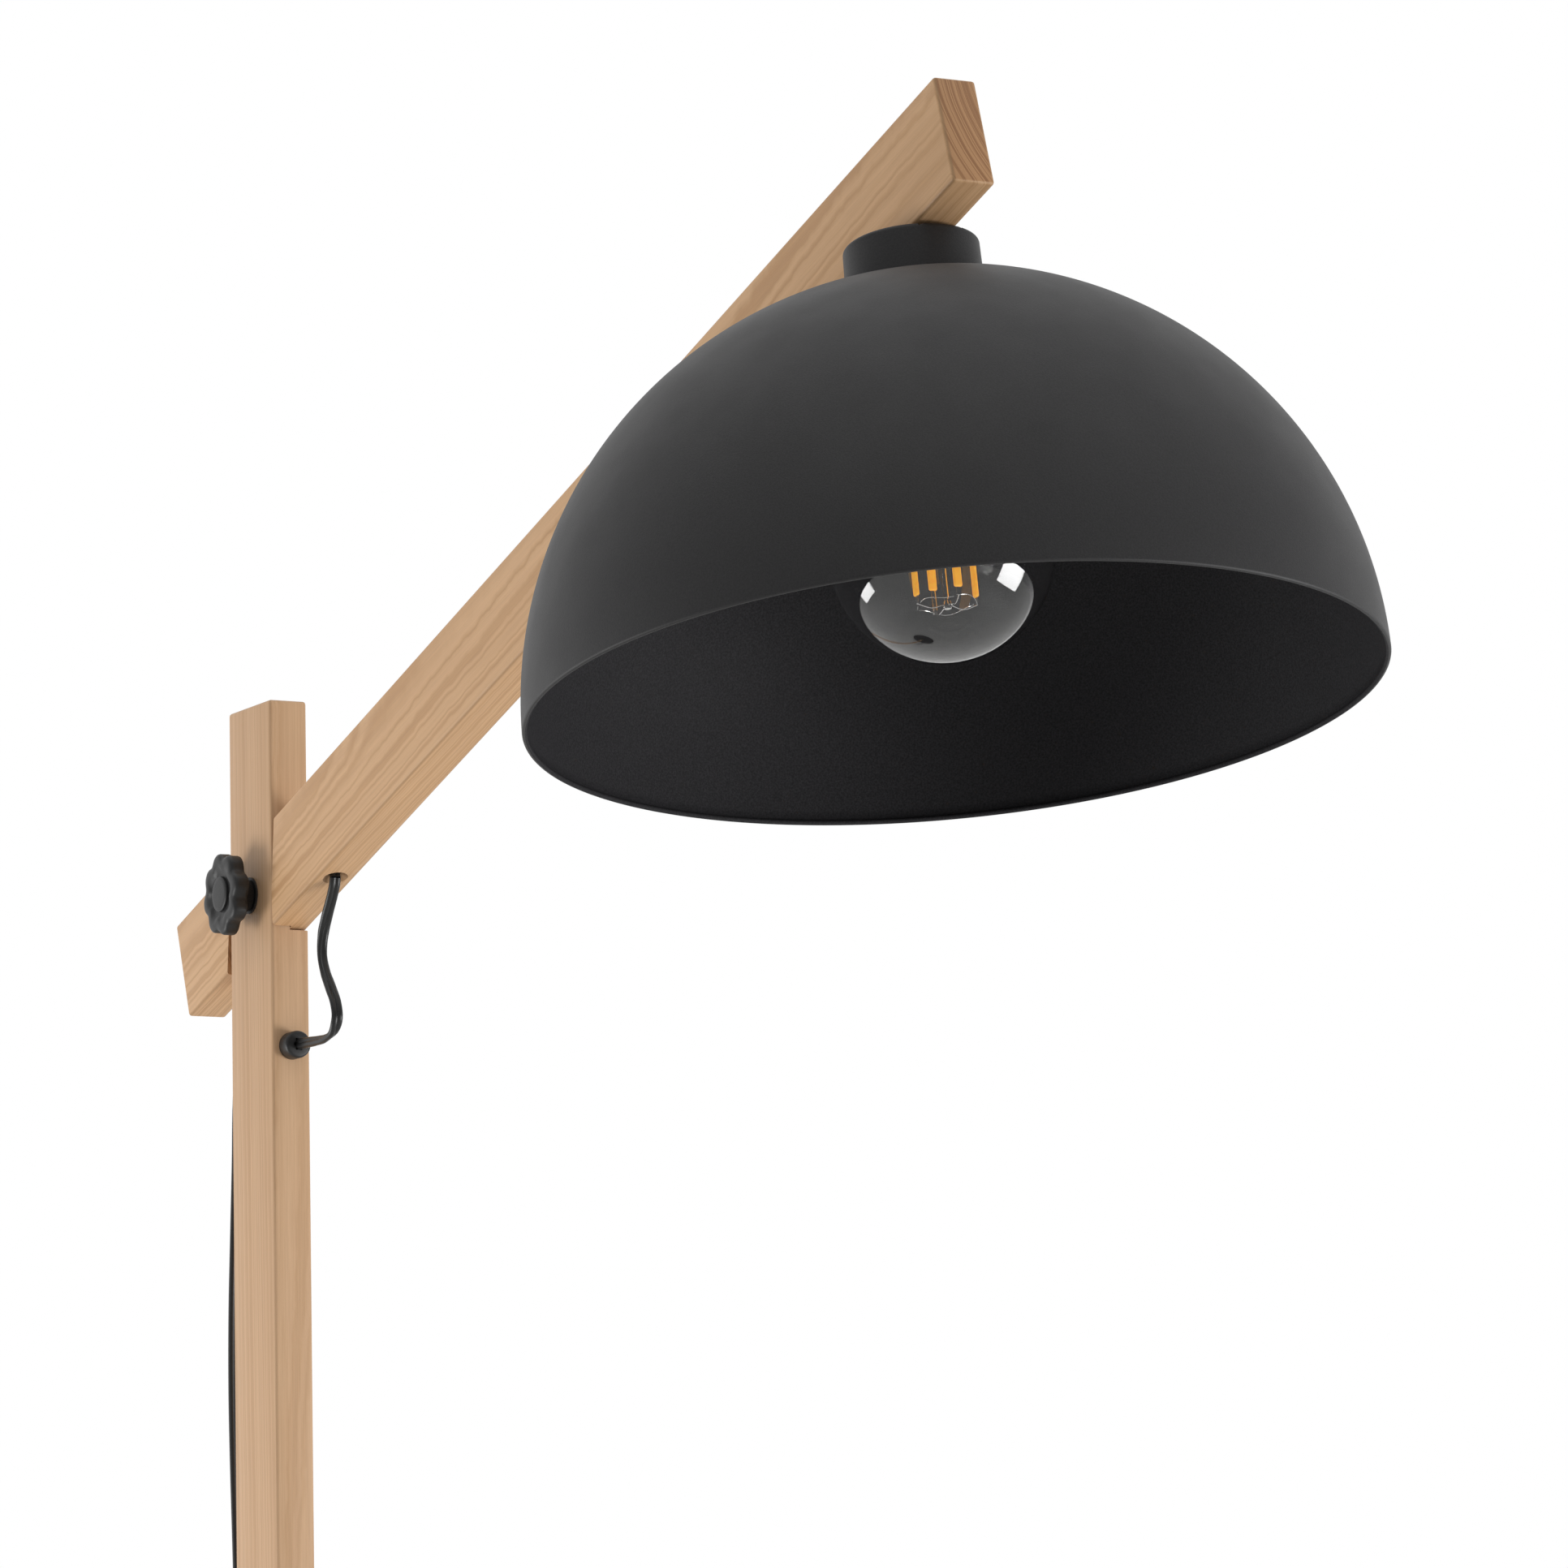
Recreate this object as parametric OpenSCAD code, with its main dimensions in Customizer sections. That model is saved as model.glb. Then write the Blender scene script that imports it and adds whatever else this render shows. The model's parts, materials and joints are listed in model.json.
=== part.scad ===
// Adjustable arm floor lamp: a wooden post and arm joined by a clamped half lap,
// with a hemispherical metal shade on a tilting joint under the arm.
// +X is the way the arm reaches, the clamp knob is on the -Y face of the post,
// and the origin is on the floor under the middle of the post.

/* [Post and arm] */
// Height of the arm's clamp bolt above the floor
pivot_z = 1300; // [1100:10:1500]
// Height of the post above the clamp bolt
post_above_pivot = 94.5; // [60:0.5:140]
// Width of both boards, seen from the knob's side
board_w = 50; // [46:1:60]
// Thickness of both boards
board_t = 20; // [18:1:26]
// Length of the arm from the bolt to the shade's end
arm_head = 752; // [730:1:800]
// Length of the arm behind the bolt
arm_tail = 90; // [70:1:140]
// Angle of the arm above level at rest
arm_rise = 17.8; // [14:0.1:22]
// How far the arm can be lowered from rest
arm_down = 3; // [1:1:12]
// How far the arm can be raised from rest
arm_up = 6; // [4:1:16]

/* [Shade] */
// Outer radius of the hemispherical shade
shade_r = 180; // [170:1:190]
// Thickness of the shade's sheet metal
shade_wall = 1; // [0.8:0.1:2]
// Lean of the shade's axis towards the post at rest
shade_lean = 8.8; // [7:0.1:10]
// Distance of the tilt pin from the clamp bolt, along the arm
tilt_along = 692.5; // [680:0.5:700]
// Outer radius of the canopy cup over the shade
canopy_r = 29; // [28:0.5:32]

/* [Base] */
// Diameter of the base plate
base_d = 350; // [300:10:350]
// Thickness of the base plate
base_t = 10; // [8:1:14]
// Height of the steel socket that holds the post
socket_h = 64; // [50:1:90]

/* [Bulb] */
// Diameter of the globe bulb
bulb_d = 95; // [80:1:100]

/* [Cord] */
// Width of the flat twin cord
cord_w = 5.6; // [5:0.1:6]
// Thickness of the flat twin cord
cord_t = 3.3; // [2.8:0.1:3.6]

/* [Hidden] */
$fn = 48;
// gap between parts that move past each other, and between parts of one body
clear = 0.3;
fit = 0.05;
// small length by which a cut runs past the face that it opens
past = 1;
board_round = 2;

// base, from the floor up
feet_t = 3;
base_top = feet_t + base_t;
foot_r = 12;
foot_ring_r = base_d / 2 - 28;
socket_wall = 2.5;
flange_t = 4;
flange_x = board_w + 40;
flange_y = board_t + 40;
socket_bolt_x = flange_x / 2 - 8;
socket_bolt_y = flange_y / 2 - 9;
bolt_m6_r = 3;
socket_screw_x = 14;
socket_screw_z = base_top + 36;
wood_screw_r = 2;

// lap joint and its clamp
bolt_r = 4;
lap_r = board_w / 2 + clear;
lap_reach = 170;
face_y = -board_t / 2;
washer_t = 1;
knob_back_y = face_y - washer_t - clear;
knob_rim_y = face_y - 9.3;
knob_front_y = face_y - 17;
knob_lobe_r = 5;
knob_lobe_ring = 15.7;
knob_core_r = 18.4;
knob_hub_r = 8;
knob_dish_r = 12.5;
knob_dish = 1.4;
knob_cap_r = 7.6;
insert_r = 6;

// cord holes
gland_z = pivot_z - 77;
gland_r = 6.75;
gland_out = 9.3;
gland_shank_r = 4.9;
cord_bore_r = 3;
grommet_out = 1.2;
lead_hole_r = 3.5;
hole_sink_r = 6.5;
hole_sink = 2.5;
tail_hole_x = 75;
head_hole_x = tilt_along - 9.5;
groove_end_x = 640;
groove_floor = 20.9;
groove_half = 3.2;
// deeper end of the groove, where the lead turns down into the tail hole
well_floor = 11;
well_l = 22;
// pilot holes for the screws that hold the tilt bracket
pilot_r = 1.65;
pilot_l = 15;

// tilt joint, in a frame at the tilt pin whose +Z is the shade's axis
tilt_drop = 32.8;
pin_to_apex = 10;
tilt_pin_r = 3;
knuckle_r = 5.5;
tongue_half = 4.2;
ear_in = tongue_half + clear;
ear_out = 8;
fork_floor = -pin_to_apex + 2;
rim_z = -pin_to_apex - shade_r;
lead_x = -10;

// lampholder and bulb, measured down from the tilt pin
tube_r = 5;
holder_top = -pin_to_apex - shade_wall - 2.2;
shade_washer_top = rim_z + sqrt((shade_r - shade_wall) ^ 2 - 16 ^ 2) - fit;
holder_split = -30;
holder_end = -62;
holder_r = 21.5;
bulb_top = -31.2;
bulb_neck = -57.5;
bulb_r = bulb_d / 2;
bulb_z = rim_z + 65;
glass_wall = 0.8;
filament_ring = 13.3;
filament_turn = 83;
filament_r = 1.1;
wire_r = 0.4;
wire_drop = 3;
filament_end = bulb_z - 20;
filament_len = 38;
// how far each filament stands above the lowest one
filament_rise = [0, 7, 0, 0];

// foot switch, coil and plug on the floor behind the base
switch_x = -265;
switch_l = 66;
switch_w = 34;
switch_split = 10;
switch_h = 22;
button_r = 9;
button_up = 3;
relief_l = 26;
coil_x = -300;
coil_y = 72;
coil_in = 24.8;
coil_out = 37.4;
coil_h = 11.8;
tie_t = 0.8;
plug_x = -246;
plug_y = 106;
plug_l = 38;
plug_t = 13.7;
plug_w = 26;
pin_r = 2;
pin_l = 19;
pin_gap = 19;

// cord routes: points on the middle of the cord
back_x = -board_w / 2 - grommet_out;
power_route = [
    [back_x, 0, gland_z], [-31, 0, gland_z - 0.5], [-35.5, 0, gland_z - 3.5], [-38.5, 0, gland_z - 9],
    [-40, 0, 1204], [-42, 0, 1172], [-45, 0, 1134], [-47.6, 0, 1098], [-48.5, 0, 1060],
    [-47.5, 0, 1024], [-45.5, 0, 985], [-42.5, 0, 900], [-40, -1, 760], [-40, 0, 600],
    [-42, 1, 430], [-43, 1, 260], [-43.5, 0, 140], [-45, 0, 84], [-49, 0, 48],
    [-57, 0, 26], [-71, 0, 17], [-92, 0, 14.8], [-130, 0, 14.8], [-164, 0, 14.8],
    [-174, 0, 14.6], [-183, 0, 12.2], [-190, 0, 9], [-198, 0, 7.2], [-206, 0, 7]
];
arm_route = [
    [head_hole_x, 0, -26.2], [head_hole_x, 0, 0], [head_hole_x, 0, 22.5], [681.6, 0, 26.2],
    [678, 0, 28.9], [673, 0, 30.3], [667, 0, 30.7], [659, 0, 30.3], [650, 0, 29],
    [637, 0, 26.2], [625, 0, 24], [612, 0, 22.9], [600, 0, 22.8], [340, 0, 22.8],
    [96, 0, 22.8], [88, 0, 22], [81, 0, 19], [76.5, 0, 14], [tail_hole_x, 0, 8],
    [tail_hole_x, 0, -24.9]
];
jumper_route = [
    [79, 0, 1299.2], [78.4, 0, 1296.6], [75.3, 0, 1291], [69, 0, 1282], [64, 0, 1273], [62.7, 0, 1264],
    [66, 0, 1255], [72.5, 0, 1246], [78, 0, 1238], [79.5, 0, 1231], [76, 0, 1225.3],
    [68, 0, 1222.6], [56, 0, 1222.2], [44, 0, 1222.7], [34.8, 0, 1223]
];
shade_lead_route = [[-10.4, 0, 4.8], [-10.2, 0, -4], [lead_x, 0, -20]];
tail_route = [
    [-324, 0, 7], [-331, 0.8, 6.4], [-338, 3.6, 4.8], [-343.2, 8.8, 3.8], [-346, 16, 3.4],
    [-346.6, 26, 3.4], [-345, 38, 3.4], [-342, 50, 3.6], [-338.6, 62, 3.7]
];
plug_route = [
    [-304, 107.9, 9.6], [-296, 108, 9.4], [-288, 107.4, 8.8], [-280, 106.4, 7.6],
    [-272, 106, 6.9]
];

function unit(v) = v / norm(v);
function clamp_index(i, n) = min(max(i, 0), n - 1);
function heading(route, i) =
    unit(route[clamp_index(i + 1, len(route))] - route[clamp_index(i - 1, len(route))]);
// the direction of the cord's width: level, or as near "across" as it can be
function cord_side(t, across) =
    is_undef(across) ? unit(cross([0, 0, 1], t)) : unit(across - (across * t) * t);

// A flat cord swept along its route, with eight sides
module cord_tube(route, across) {
    sides = 8;
    last = len(route) - 1;
    rings = [
        for (i = [0:last])
            let (t = heading(route, i), side = cord_side(t, across), rise = cross(t, side))
            for (k = [0:sides - 1])
                let (a = 360 * k / sides)
                route[i] + cord_w / 2 * cos(a) * side + cord_t / 2 * sin(a) * rise
    ];
    skin = [
        for (i = [0:last - 1], k = [0:sides - 1])
            let (a = i * sides + k, b = i * sides + (k + 1) % sides)
            each [[a, a + sides, b], [b, a + sides, b + sides]]
    ];
    start_cap = [for (k = [0:sides - 1]) k];
    end_cap = [for (k = [sides - 1:-1:0]) last * sides + k];
    color([0.07, 0.07, 0.07])
        polyhedron(points = rings, faces = concat([start_cap], skin, [end_cap]));
}

// Rectangle with round corners
module round_rect(x, y, r) {
    square([x - 2 * r, y], center = true);
    square([x, y - 2 * r], center = true);
    for (sx = [-1, 1], sy = [-1, 1])
        translate([sx * (x / 2 - r), sy * (y / 2 - r)])
            circle(r);
}

// Cylinder along +Y, from y = from to y = to
module rod_y(r, from, to) {
    translate([0, to, 0])
        rotate([90, 0, 0])
            cylinder(r = r, h = to - from);
}

// Cylinder along +X, from x = from to x = to
module rod_x(r, from, to) {
    translate([from, 0, 0])
        rotate([0, 90, 0])
            cylinder(r = r, h = to - from);
}

// A shape in the X-Z plane, made solid from y = from to y = to
module plate_y(from, to) {
    translate([0, to, 0])
        rotate([90, 0, 0])
            linear_extrude(to - from)
                children();
}

module at_pivot() {
    translate([0, 0, pivot_z])
        children();
}

// The arm's frame: +X along the arm, origin on the clamp bolt
module in_arm() {
    at_pivot()
        rotate([0, -arm_rise, 0])
            children();
}

// The shade's frame: origin on the tilt pin, +Z up its axis
module in_shade() {
    translate([
        tilt_along * cos(arm_rise) + tilt_drop * sin(arm_rise),
        0,
        pivot_z + tilt_along * sin(arm_rise) - tilt_drop * cos(arm_rise)
    ])
        rotate([0, -shade_lean, 0])
            children();
}

// Everything that a board sweeps as it turns from one angle to the other
module swept_board(first, second) {
    for (a = [first, second])
        rotate(a)
            square([lap_reach, 2 * lap_r], center = true);
    circle(lap_r);
}

// ---- base ----

module base_plate() {
    edge = 3;
    color([0.13, 0.13, 0.13])
        difference() {
            translate([0, 0, feet_t])
                rotate_extrude($fn = 128)
                    union() {
                        square([base_d / 2 - edge, base_t]);
                        square([base_d / 2, base_t - edge]);
                        translate([base_d / 2 - edge, base_t - edge])
                            circle(edge);
                    }
            for (x = [-socket_bolt_x, socket_bolt_x], y = [-socket_bolt_y, socket_bolt_y])
                translate([x, y, feet_t - past]) {
                    cylinder(r = bolt_m6_r + 0.3, h = base_t + 2 * past);
                    cylinder(r1 = 7.3, r2 = bolt_m6_r + 0.3, h = 4 + past);
                }
        }
}

module base_feet() {
    color([0.1, 0.1, 0.1]) {
        cylinder(r = foot_r, h = feet_t);
        for (a = [0:60:300])
            rotate(a)
                translate([foot_ring_r, 0, 0])
                    cylinder(r = foot_r, h = feet_t);
    }
}

module post_socket() {
    outer_x = board_w + 2 * (socket_wall + 2 * fit);
    outer_y = board_t + 2 * (socket_wall + 2 * fit);
    color([0.13, 0.13, 0.13])
        difference() {
            union() {
                translate([0, 0, base_top])
                    linear_extrude(flange_t)
                        round_rect(flange_x, flange_y, 8);
                translate([0, 0, base_top])
                    linear_extrude(socket_h)
                        round_rect(outer_x, outer_y, 3);
            }
            translate([0, 0, base_top - past])
                linear_extrude(socket_h + 2 * past)
                    round_rect(board_w + 4 * fit, board_t + 4 * fit, board_round);
            for (x = [-socket_bolt_x, socket_bolt_x], y = [-socket_bolt_y, socket_bolt_y])
                translate([x, y, base_top - past])
                    cylinder(r = bolt_m6_r + fit, h = flange_t + 2 * past);
            for (x = [-socket_screw_x, socket_screw_x])
                translate([x, 0, socket_screw_z])
                    rod_y(wood_screw_r + 0.2, -outer_y, outer_y);
        }
}

module socket_bolts() {
    color([0.6, 0.6, 0.6])
        for (x = [-socket_bolt_x, socket_bolt_x], y = [-socket_bolt_y, socket_bolt_y])
            translate([x, y, feet_t + 0.3]) {
                cylinder(r1 = 6, r2 = bolt_m6_r, h = 3.3);
                cylinder(r = bolt_m6_r, h = base_t + flange_t - 0.6);
            }
}

module socket_screws() {
    wall_y = board_t / 2 + socket_wall + 2 * fit;
    color([0.15, 0.15, 0.15])
        for (x = [-socket_screw_x, socket_screw_x], side = [0, 180])
            translate([x, 0, socket_screw_z])
                rotate([0, 0, side]) {
                    rod_y(wood_screw_r, wall_y - 10.5, wall_y + 0.5);
                    rod_y(4, wall_y + 0.1, wall_y + 2.3);
                }
}

// ---- post ----

module post() {
    foot = base_top + 0.2;
    color([0.8, 0.65, 0.5])
        difference() {
            translate([0, 0, foot])
                linear_extrude(pivot_z + post_above_pivot - foot)
                    round_rect(board_w, board_t, board_round);
            at_pivot() {
                plate_y(-clear / 2, board_t)
                    swept_board(arm_rise - arm_down, arm_rise + arm_up);
                rod_y(bolt_r + fit, -board_t, board_t);
            }
            translate([0, 0, gland_z])
                rod_x(gland_shank_r + fit, -board_w, board_w);
            for (x = [-socket_screw_x, socket_screw_x])
                translate([x, 0, socket_screw_z])
                    rod_y(wood_screw_r + fit, -board_t, board_t);
        }
}

module front_gland() {
    color([0.08, 0.08, 0.08])
        translate([0, 0, gland_z])
            difference() {
                union() {
                    rod_x(gland_shank_r, 12, board_w / 2 + 1);
                    rod_x(gland_r, board_w / 2, board_w / 2 + gland_out - 1);
                    translate([board_w / 2 + gland_out - 1, 0, 0])
                        rotate([0, 90, 0])
                            cylinder(r1 = gland_r, r2 = gland_r - 1, h = 1);
                }
                rod_x(cord_bore_r, 0, board_w);
            }
}

module rear_grommet() {
    color([0.08, 0.08, 0.08])
        translate([0, 0, gland_z])
            difference() {
                union() {
                    rod_x(gland_shank_r, -board_w / 2 - 0.5, -12);
                    rod_x(7, -board_w / 2 - grommet_out, -board_w / 2);
                }
                rod_x(cord_bore_r, -board_w, 0);
            }
}

module post_lead() {
    cord_tube([[board_w / 2 + gland_out, 0, gland_z], [0, 0, gland_z], [back_x, 0, gland_z]],
        [0, 1, 0]);
}

// ---- clamp ----

module pivot_bolt() {
    back = board_t / 2 + clear + 1.5;
    color([0.2, 0.2, 0.2])
        at_pivot() {
            rod_y(bolt_r, knob_front_y + 5, back + 0.5);
            intersection() {
                translate([0, back - 11.5, 0])
                    sphere(16);
                rod_y(11, back, back + 4.5);
            }
        }
}

module bolt_washer() {
    color([0.3, 0.3, 0.3])
        at_pivot()
            difference() {
                rod_y(12, board_t / 2 + clear, board_t / 2 + clear + 1.5);
                rod_y(bolt_r + fit, 0, board_t);
            }
}

module knob_washer() {
    color([0.15, 0.15, 0.15])
        at_pivot()
            difference() {
                rod_y(9, face_y - washer_t, face_y);
                rod_y(bolt_r + fit, -board_t, 0);
            }
}

module knob_outline() {
    circle(knob_core_r);
    for (a = [0:45:315])
        rotate(a + 11)
            translate([knob_lobe_ring, 0])
                circle(knob_lobe_r);
}

module knob() {
    color([0.1, 0.1, 0.1])
        at_pivot()
            difference() {
                union() {
                    plate_y(knob_front_y, knob_rim_y)
                        knob_outline();
                    rod_y(knob_hub_r, knob_front_y + 2, knob_back_y);
                }
                rod_y(knob_dish_r, knob_front_y - past, knob_front_y + knob_dish);
                rod_y(insert_r + fit, knob_front_y + 3, 0);
            }
}

module knob_insert() {
    color([0.75, 0.6, 0.3])
        at_pivot()
            difference() {
                rod_y(insert_r, knob_front_y + 3.2, knob_back_y);
                rod_y(bolt_r + fit, knob_front_y + 3.8, 0);
            }
}

module knob_cap() {
    color([0.12, 0.12, 0.12])
        at_pivot()
            rod_y(knob_cap_r, knob_front_y - 0.2, knob_front_y + knob_dish);
}

// ---- arm ----

module arm() {
    color([0.8, 0.6, 0.42])
        in_arm()
            difference() {
                translate([-arm_tail, 0, 0])
                    rotate([90, 0, 90])
                        linear_extrude(arm_tail + arm_head)
                            round_rect(board_t, board_w, board_round);
                plate_y(-board_t, clear / 2)
                    swept_board(90 - arm_rise + arm_down, 90 - arm_rise - arm_up);
                rod_y(bolt_r + fit, -board_t, board_t);
                for (x = [tail_hole_x, head_hole_x])
                    translate([x, 0, -board_w])
                        cylinder(r = lead_hole_r, h = 2 * board_w);
                translate([tail_hole_x, 0, -board_w / 2 - past])
                    cylinder(r1 = hole_sink_r, r2 = lead_hole_r, h = hole_sink + past);
                translate([tail_hole_x - lead_hole_r, -groove_half, groove_floor])
                    cube([groove_end_x - tail_hole_x + lead_hole_r, 2 * groove_half, board_w]);
                translate([tail_hole_x - lead_hole_r, -groove_half, well_floor])
                    cube([well_l, 2 * groove_half, board_w]);
                for (x = bracket_screw_x())
                    translate([x, 0, -board_w / 2 - past])
                        cylinder(r = pilot_r, h = pilot_l + past);
            }
}

module arm_lead() {
    in_arm()
        cord_tube(arm_route, [0, 1, 0]);
}

module jumper_cord() {
    cord_tube(jumper_route, [0, 1, 0]);
}

// ---- tilt joint ----

function bracket_screw_x() = [tilt_along - 18, tilt_along + 15];

module tilt_bracket() {
    plate_t = 1.5;
    under = -board_w / 2;
    color([0.35, 0.35, 0.35])
        in_arm()
            difference() {
                union() {
                    translate([tilt_along - 22, -9, under - plate_t])
                        cube([42, 18, plate_t]);
                    translate([tilt_along - knuckle_r, -tongue_half, -tilt_drop])
                        cube([2 * knuckle_r, 2 * tongue_half, tilt_drop + under]);
                    translate([tilt_along, 0, -tilt_drop])
                        rod_y(knuckle_r, -tongue_half, tongue_half);
                }
                translate([tilt_along, 0, -tilt_drop])
                    rod_y(tilt_pin_r, -board_t, board_t);
                translate([head_hole_x, 0, -board_w])
                    cylinder(r = lead_hole_r, h = board_w);
                for (x = bracket_screw_x())
                    translate([x, 0, -board_w])
                        cylinder(r = 1.7, h = board_w);
            }
}

module bracket_screws() {
    color([0.6, 0.6, 0.6])
        in_arm()
            for (x = bracket_screw_x())
                translate([x, 0, -board_w / 2]) {
                    translate([0, 0, -2.6])
                        cylinder(r = 1.6, h = 15);
                    translate([0, 0, -2.6])
                        cylinder(r = 2.6, h = 1.1);
                }
}

module tilt_pin() {
    color([0.7, 0.7, 0.7])
        in_arm()
            translate([tilt_along, 0, -tilt_drop])
                rod_y(tilt_pin_r, -ear_out - 0.8, ear_out + 0.8);
}

module tilt_fork() {
    color([0.35, 0.35, 0.35])
        in_shade()
            difference() {
                union() {
                    translate([-7, -ear_out, fork_floor])
                        cube([14, 2 * ear_out, 2.2]);
                    for (y = [-ear_out, ear_in]) {
                        translate([-knuckle_r, y, fork_floor])
                            cube([2 * knuckle_r, ear_out - ear_in, -fork_floor]);
                        rod_y(knuckle_r, y, y + ear_out - ear_in);
                    }
                }
                rod_y(tilt_pin_r + fit, -board_t, board_t);
                translate([0, 0, fork_floor - past])
                    cylinder(r = tube_r + fit, h = 2.2 + 2 * past);
            }
}

// ---- shade and canopy ----

module canopy() {
    top = pin_to_apex;
    wall = 2.2;
    edge = 2;
    slot_half = board_t / 2 + 0.7;
    color([0.1, 0.1, 0.1])
        in_shade()
            difference() {
                rotate_extrude($fn = 96)
                    union() {
                        translate([0, top - edge - 24])
                            square([canopy_r, 24]);
                        square([canopy_r - edge, top]);
                        translate([canopy_r - edge, top - edge])
                            circle(edge);
                    }
                translate([0, 0, -pin_to_apex + 2])
                    cylinder(r = canopy_r - wall, h = 2 * pin_to_apex - 4);
                translate([0, 0, rim_z])
                    sphere(shade_r + 0.02, $fn = 128);
                // the arm's lower edge dips into this slot as the shade tilts
                translate([-canopy_r - past, -slot_half, -5.3])
                    cube([14, 2 * slot_half, 2 * pin_to_apex]);
                translate([-canopy_r + 10, -slot_half, 2])
                    cube([2 * canopy_r - 10 - wall, 2 * slot_half, pin_to_apex]);
                cylinder(r = tube_r + fit, h = 60, center = true);
                translate([lead_x, 0, 0])
                    cylinder(r = lead_hole_r, h = 60, center = true);
            }
}

module shade_lead() {
    in_shade()
        cord_tube(shade_lead_route, [0, 1, 0]);
}

module threaded_tube() {
    color([0.75, 0.75, 0.7])
        in_shade()
            translate([0, 0, -22])
                difference() {
                    cylinder(r = tube_r, h = 22 + fork_floor + 2);
                    translate([0, 0, -past])
                        cylinder(r = 3.5, h = 40);
                }
}

module shade() {
    bead = 1.1;
    color([0.23, 0.23, 0.23])
        in_shade()
            difference() {
                translate([0, 0, rim_z])
                    union() {
                        difference() {
                            sphere(shade_r, $fn = 128);
                            sphere(shade_r - shade_wall, $fn = 128);
                            translate([0, 0, -shade_r])
                                cube(2 * shade_r + 2 * past, center = true);
                        }
                        rotate_extrude($fn = 128)
                            translate([shade_r - bead, bead])
                                circle(bead);
                    }
                cylinder(r = tube_r + fit, h = 60, center = true);
                translate([lead_x, 0, 0])
                    cylinder(r = lead_hole_r, h = 60, center = true);
            }
}

module shade_washer() {
    color([0.5, 0.5, 0.5])
        in_shade()
            difference() {
                translate([0, 0, holder_top + fit])
                    cylinder(r = 16, h = shade_washer_top - holder_top - fit);
                cylinder(r = tube_r + fit, h = 60, center = true);
                translate([lead_x, 0, 0])
                    cylinder(r = lead_hole_r, h = 60, center = true);
            }
}

module lock_nut() {
    color([0.75, 0.75, 0.7])
        in_shade()
            translate([0, 0, holder_top - 6])
                difference() {
                    rotate(30)
                        cylinder(r = 8, h = 4, $fn = 6);
                    translate([0, 0, -past])
                        cylinder(r = tube_r + fit, h = 6);
                }
}

// ---- lampholder ----

module holder_cap() {
    edge = 4;
    wall = 2;
    height = holder_top - holder_split;
    color([0.09, 0.09, 0.09])
        in_shade()
            difference() {
                translate([0, 0, holder_split])
                    rotate_extrude()
                        union() {
                            square([holder_r, height - edge]);
                            square([holder_r - edge, height]);
                            translate([holder_r - edge, height - edge])
                                circle(edge);
                        }
                translate([0, 0, holder_split - past])
                    cylinder(r = holder_r - wall, h = height - wall + past);
                cylinder(r = tube_r + fit, h = 60, center = true);
                translate([lead_x, 0, 0])
                    cylinder(r = lead_hole_r, h = 40, center = true);
            }
}

module holder_body() {
    color([0.09, 0.09, 0.09])
        in_shade()
            translate([0, 0, holder_end])
                difference() {
                    rotate_extrude()
                        polygon([
                            [14, 0], [17.2, 0], [18.5, 1.5], [19.5, 16], [holder_r, 22],
                            [holder_r, 31.9], [14, 31.9]
                        ]);
                    translate([0, 0, -past])
                        cylinder(r = 14, h = 40);
                }
}

module holder_core() {
    color([0.85, 0.83, 0.78])
        in_shade()
            translate([0, 0, holder_split - 0.1])
                cylinder(r = 17, h = 6);
}

module holder_contact() {
    color([0.8, 0.65, 0.3])
        in_shade()
            translate([0, 0, bulb_top + fit])
                cylinder(r = 4, h = 1);
}

module screw_shell() {
    color([0.8, 0.65, 0.3])
        in_shade()
            translate([0, 0, -56])
                difference() {
                    cylinder(r = 13.9, h = 25.8);
                    translate([0, 0, -past])
                        cylinder(r = 13.25, h = 30);
                }
}

// ---- bulb ----

// Radius of the glass at height z, in three stretches: neck, flare and globe
neck_r = 13.2;
flare_top = -64;
flare_end = bulb_z + 38;
flare_end_r = sqrt(bulb_r * bulb_r - 38 * 38);
function flare_radius(u) =
    (2 * u ^ 3 - 3 * u ^ 2 + 1) * neck_r + (3 * u ^ 2 - 2 * u ^ 3) * flare_end_r
    + (u ^ 3 - u ^ 2) * 38 / flare_end_r * (flare_top - flare_end);
flare_steps = 8;
flare_points = [
    for (i = [0:flare_steps])
        let (u = i / flare_steps)
        [flare_radius(u), flare_top + u * (flare_end - flare_top)]
];

module glass_body(inset) {
    rotate_extrude($fn = 96)
        polygon(concat(
            [[0, bulb_neck + past], [neck_r - inset, bulb_neck + past]],
            [for (p = flare_points) [p[0] - inset, p[1]]],
            [[0, flare_end]]
        ));
    translate([0, 0, bulb_z])
        intersection() {
            sphere(bulb_r - inset, $fn = 128);
            translate([0, 0, 39 - bulb_r])
                cube(2 * bulb_r, center = true);
        }
}

module bulb_glass() {
    color([0.85, 0.9, 0.95, 0.3])
        in_shade()
            difference() {
                intersection() {
                    glass_body(0);
                    translate([0, 0, bulb_neck - 200])
                        cylinder(r = 60, h = 200);
                }
                glass_body(glass_wall);
            }
}

module bulb_cap() {
    thread_pitch = 3.6;
    color([0.8, 0.8, 0.8])
        in_shade()
            difference() {
                union() {
                    translate([0, 0, bulb_neck])
                        cylinder(r = 12.5, h = bulb_top - 3 - bulb_neck);
                    for (i = [0:5])
                        translate([0, 0, bulb_neck + 3 + i * thread_pitch])
                            rotate_extrude()
                                translate([12.1, 0])
                                    circle(1);
                }
                translate([0, 0, bulb_neck - past])
                    cylinder(r = 11.8, h = 24);
            }
}

module bulb_insulator() {
    color([0.05, 0.05, 0.08])
        in_shade()
            translate([0, 0, bulb_top - 3])
                cylinder(r1 = 11, r2 = 5, h = 2);
}

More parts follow.
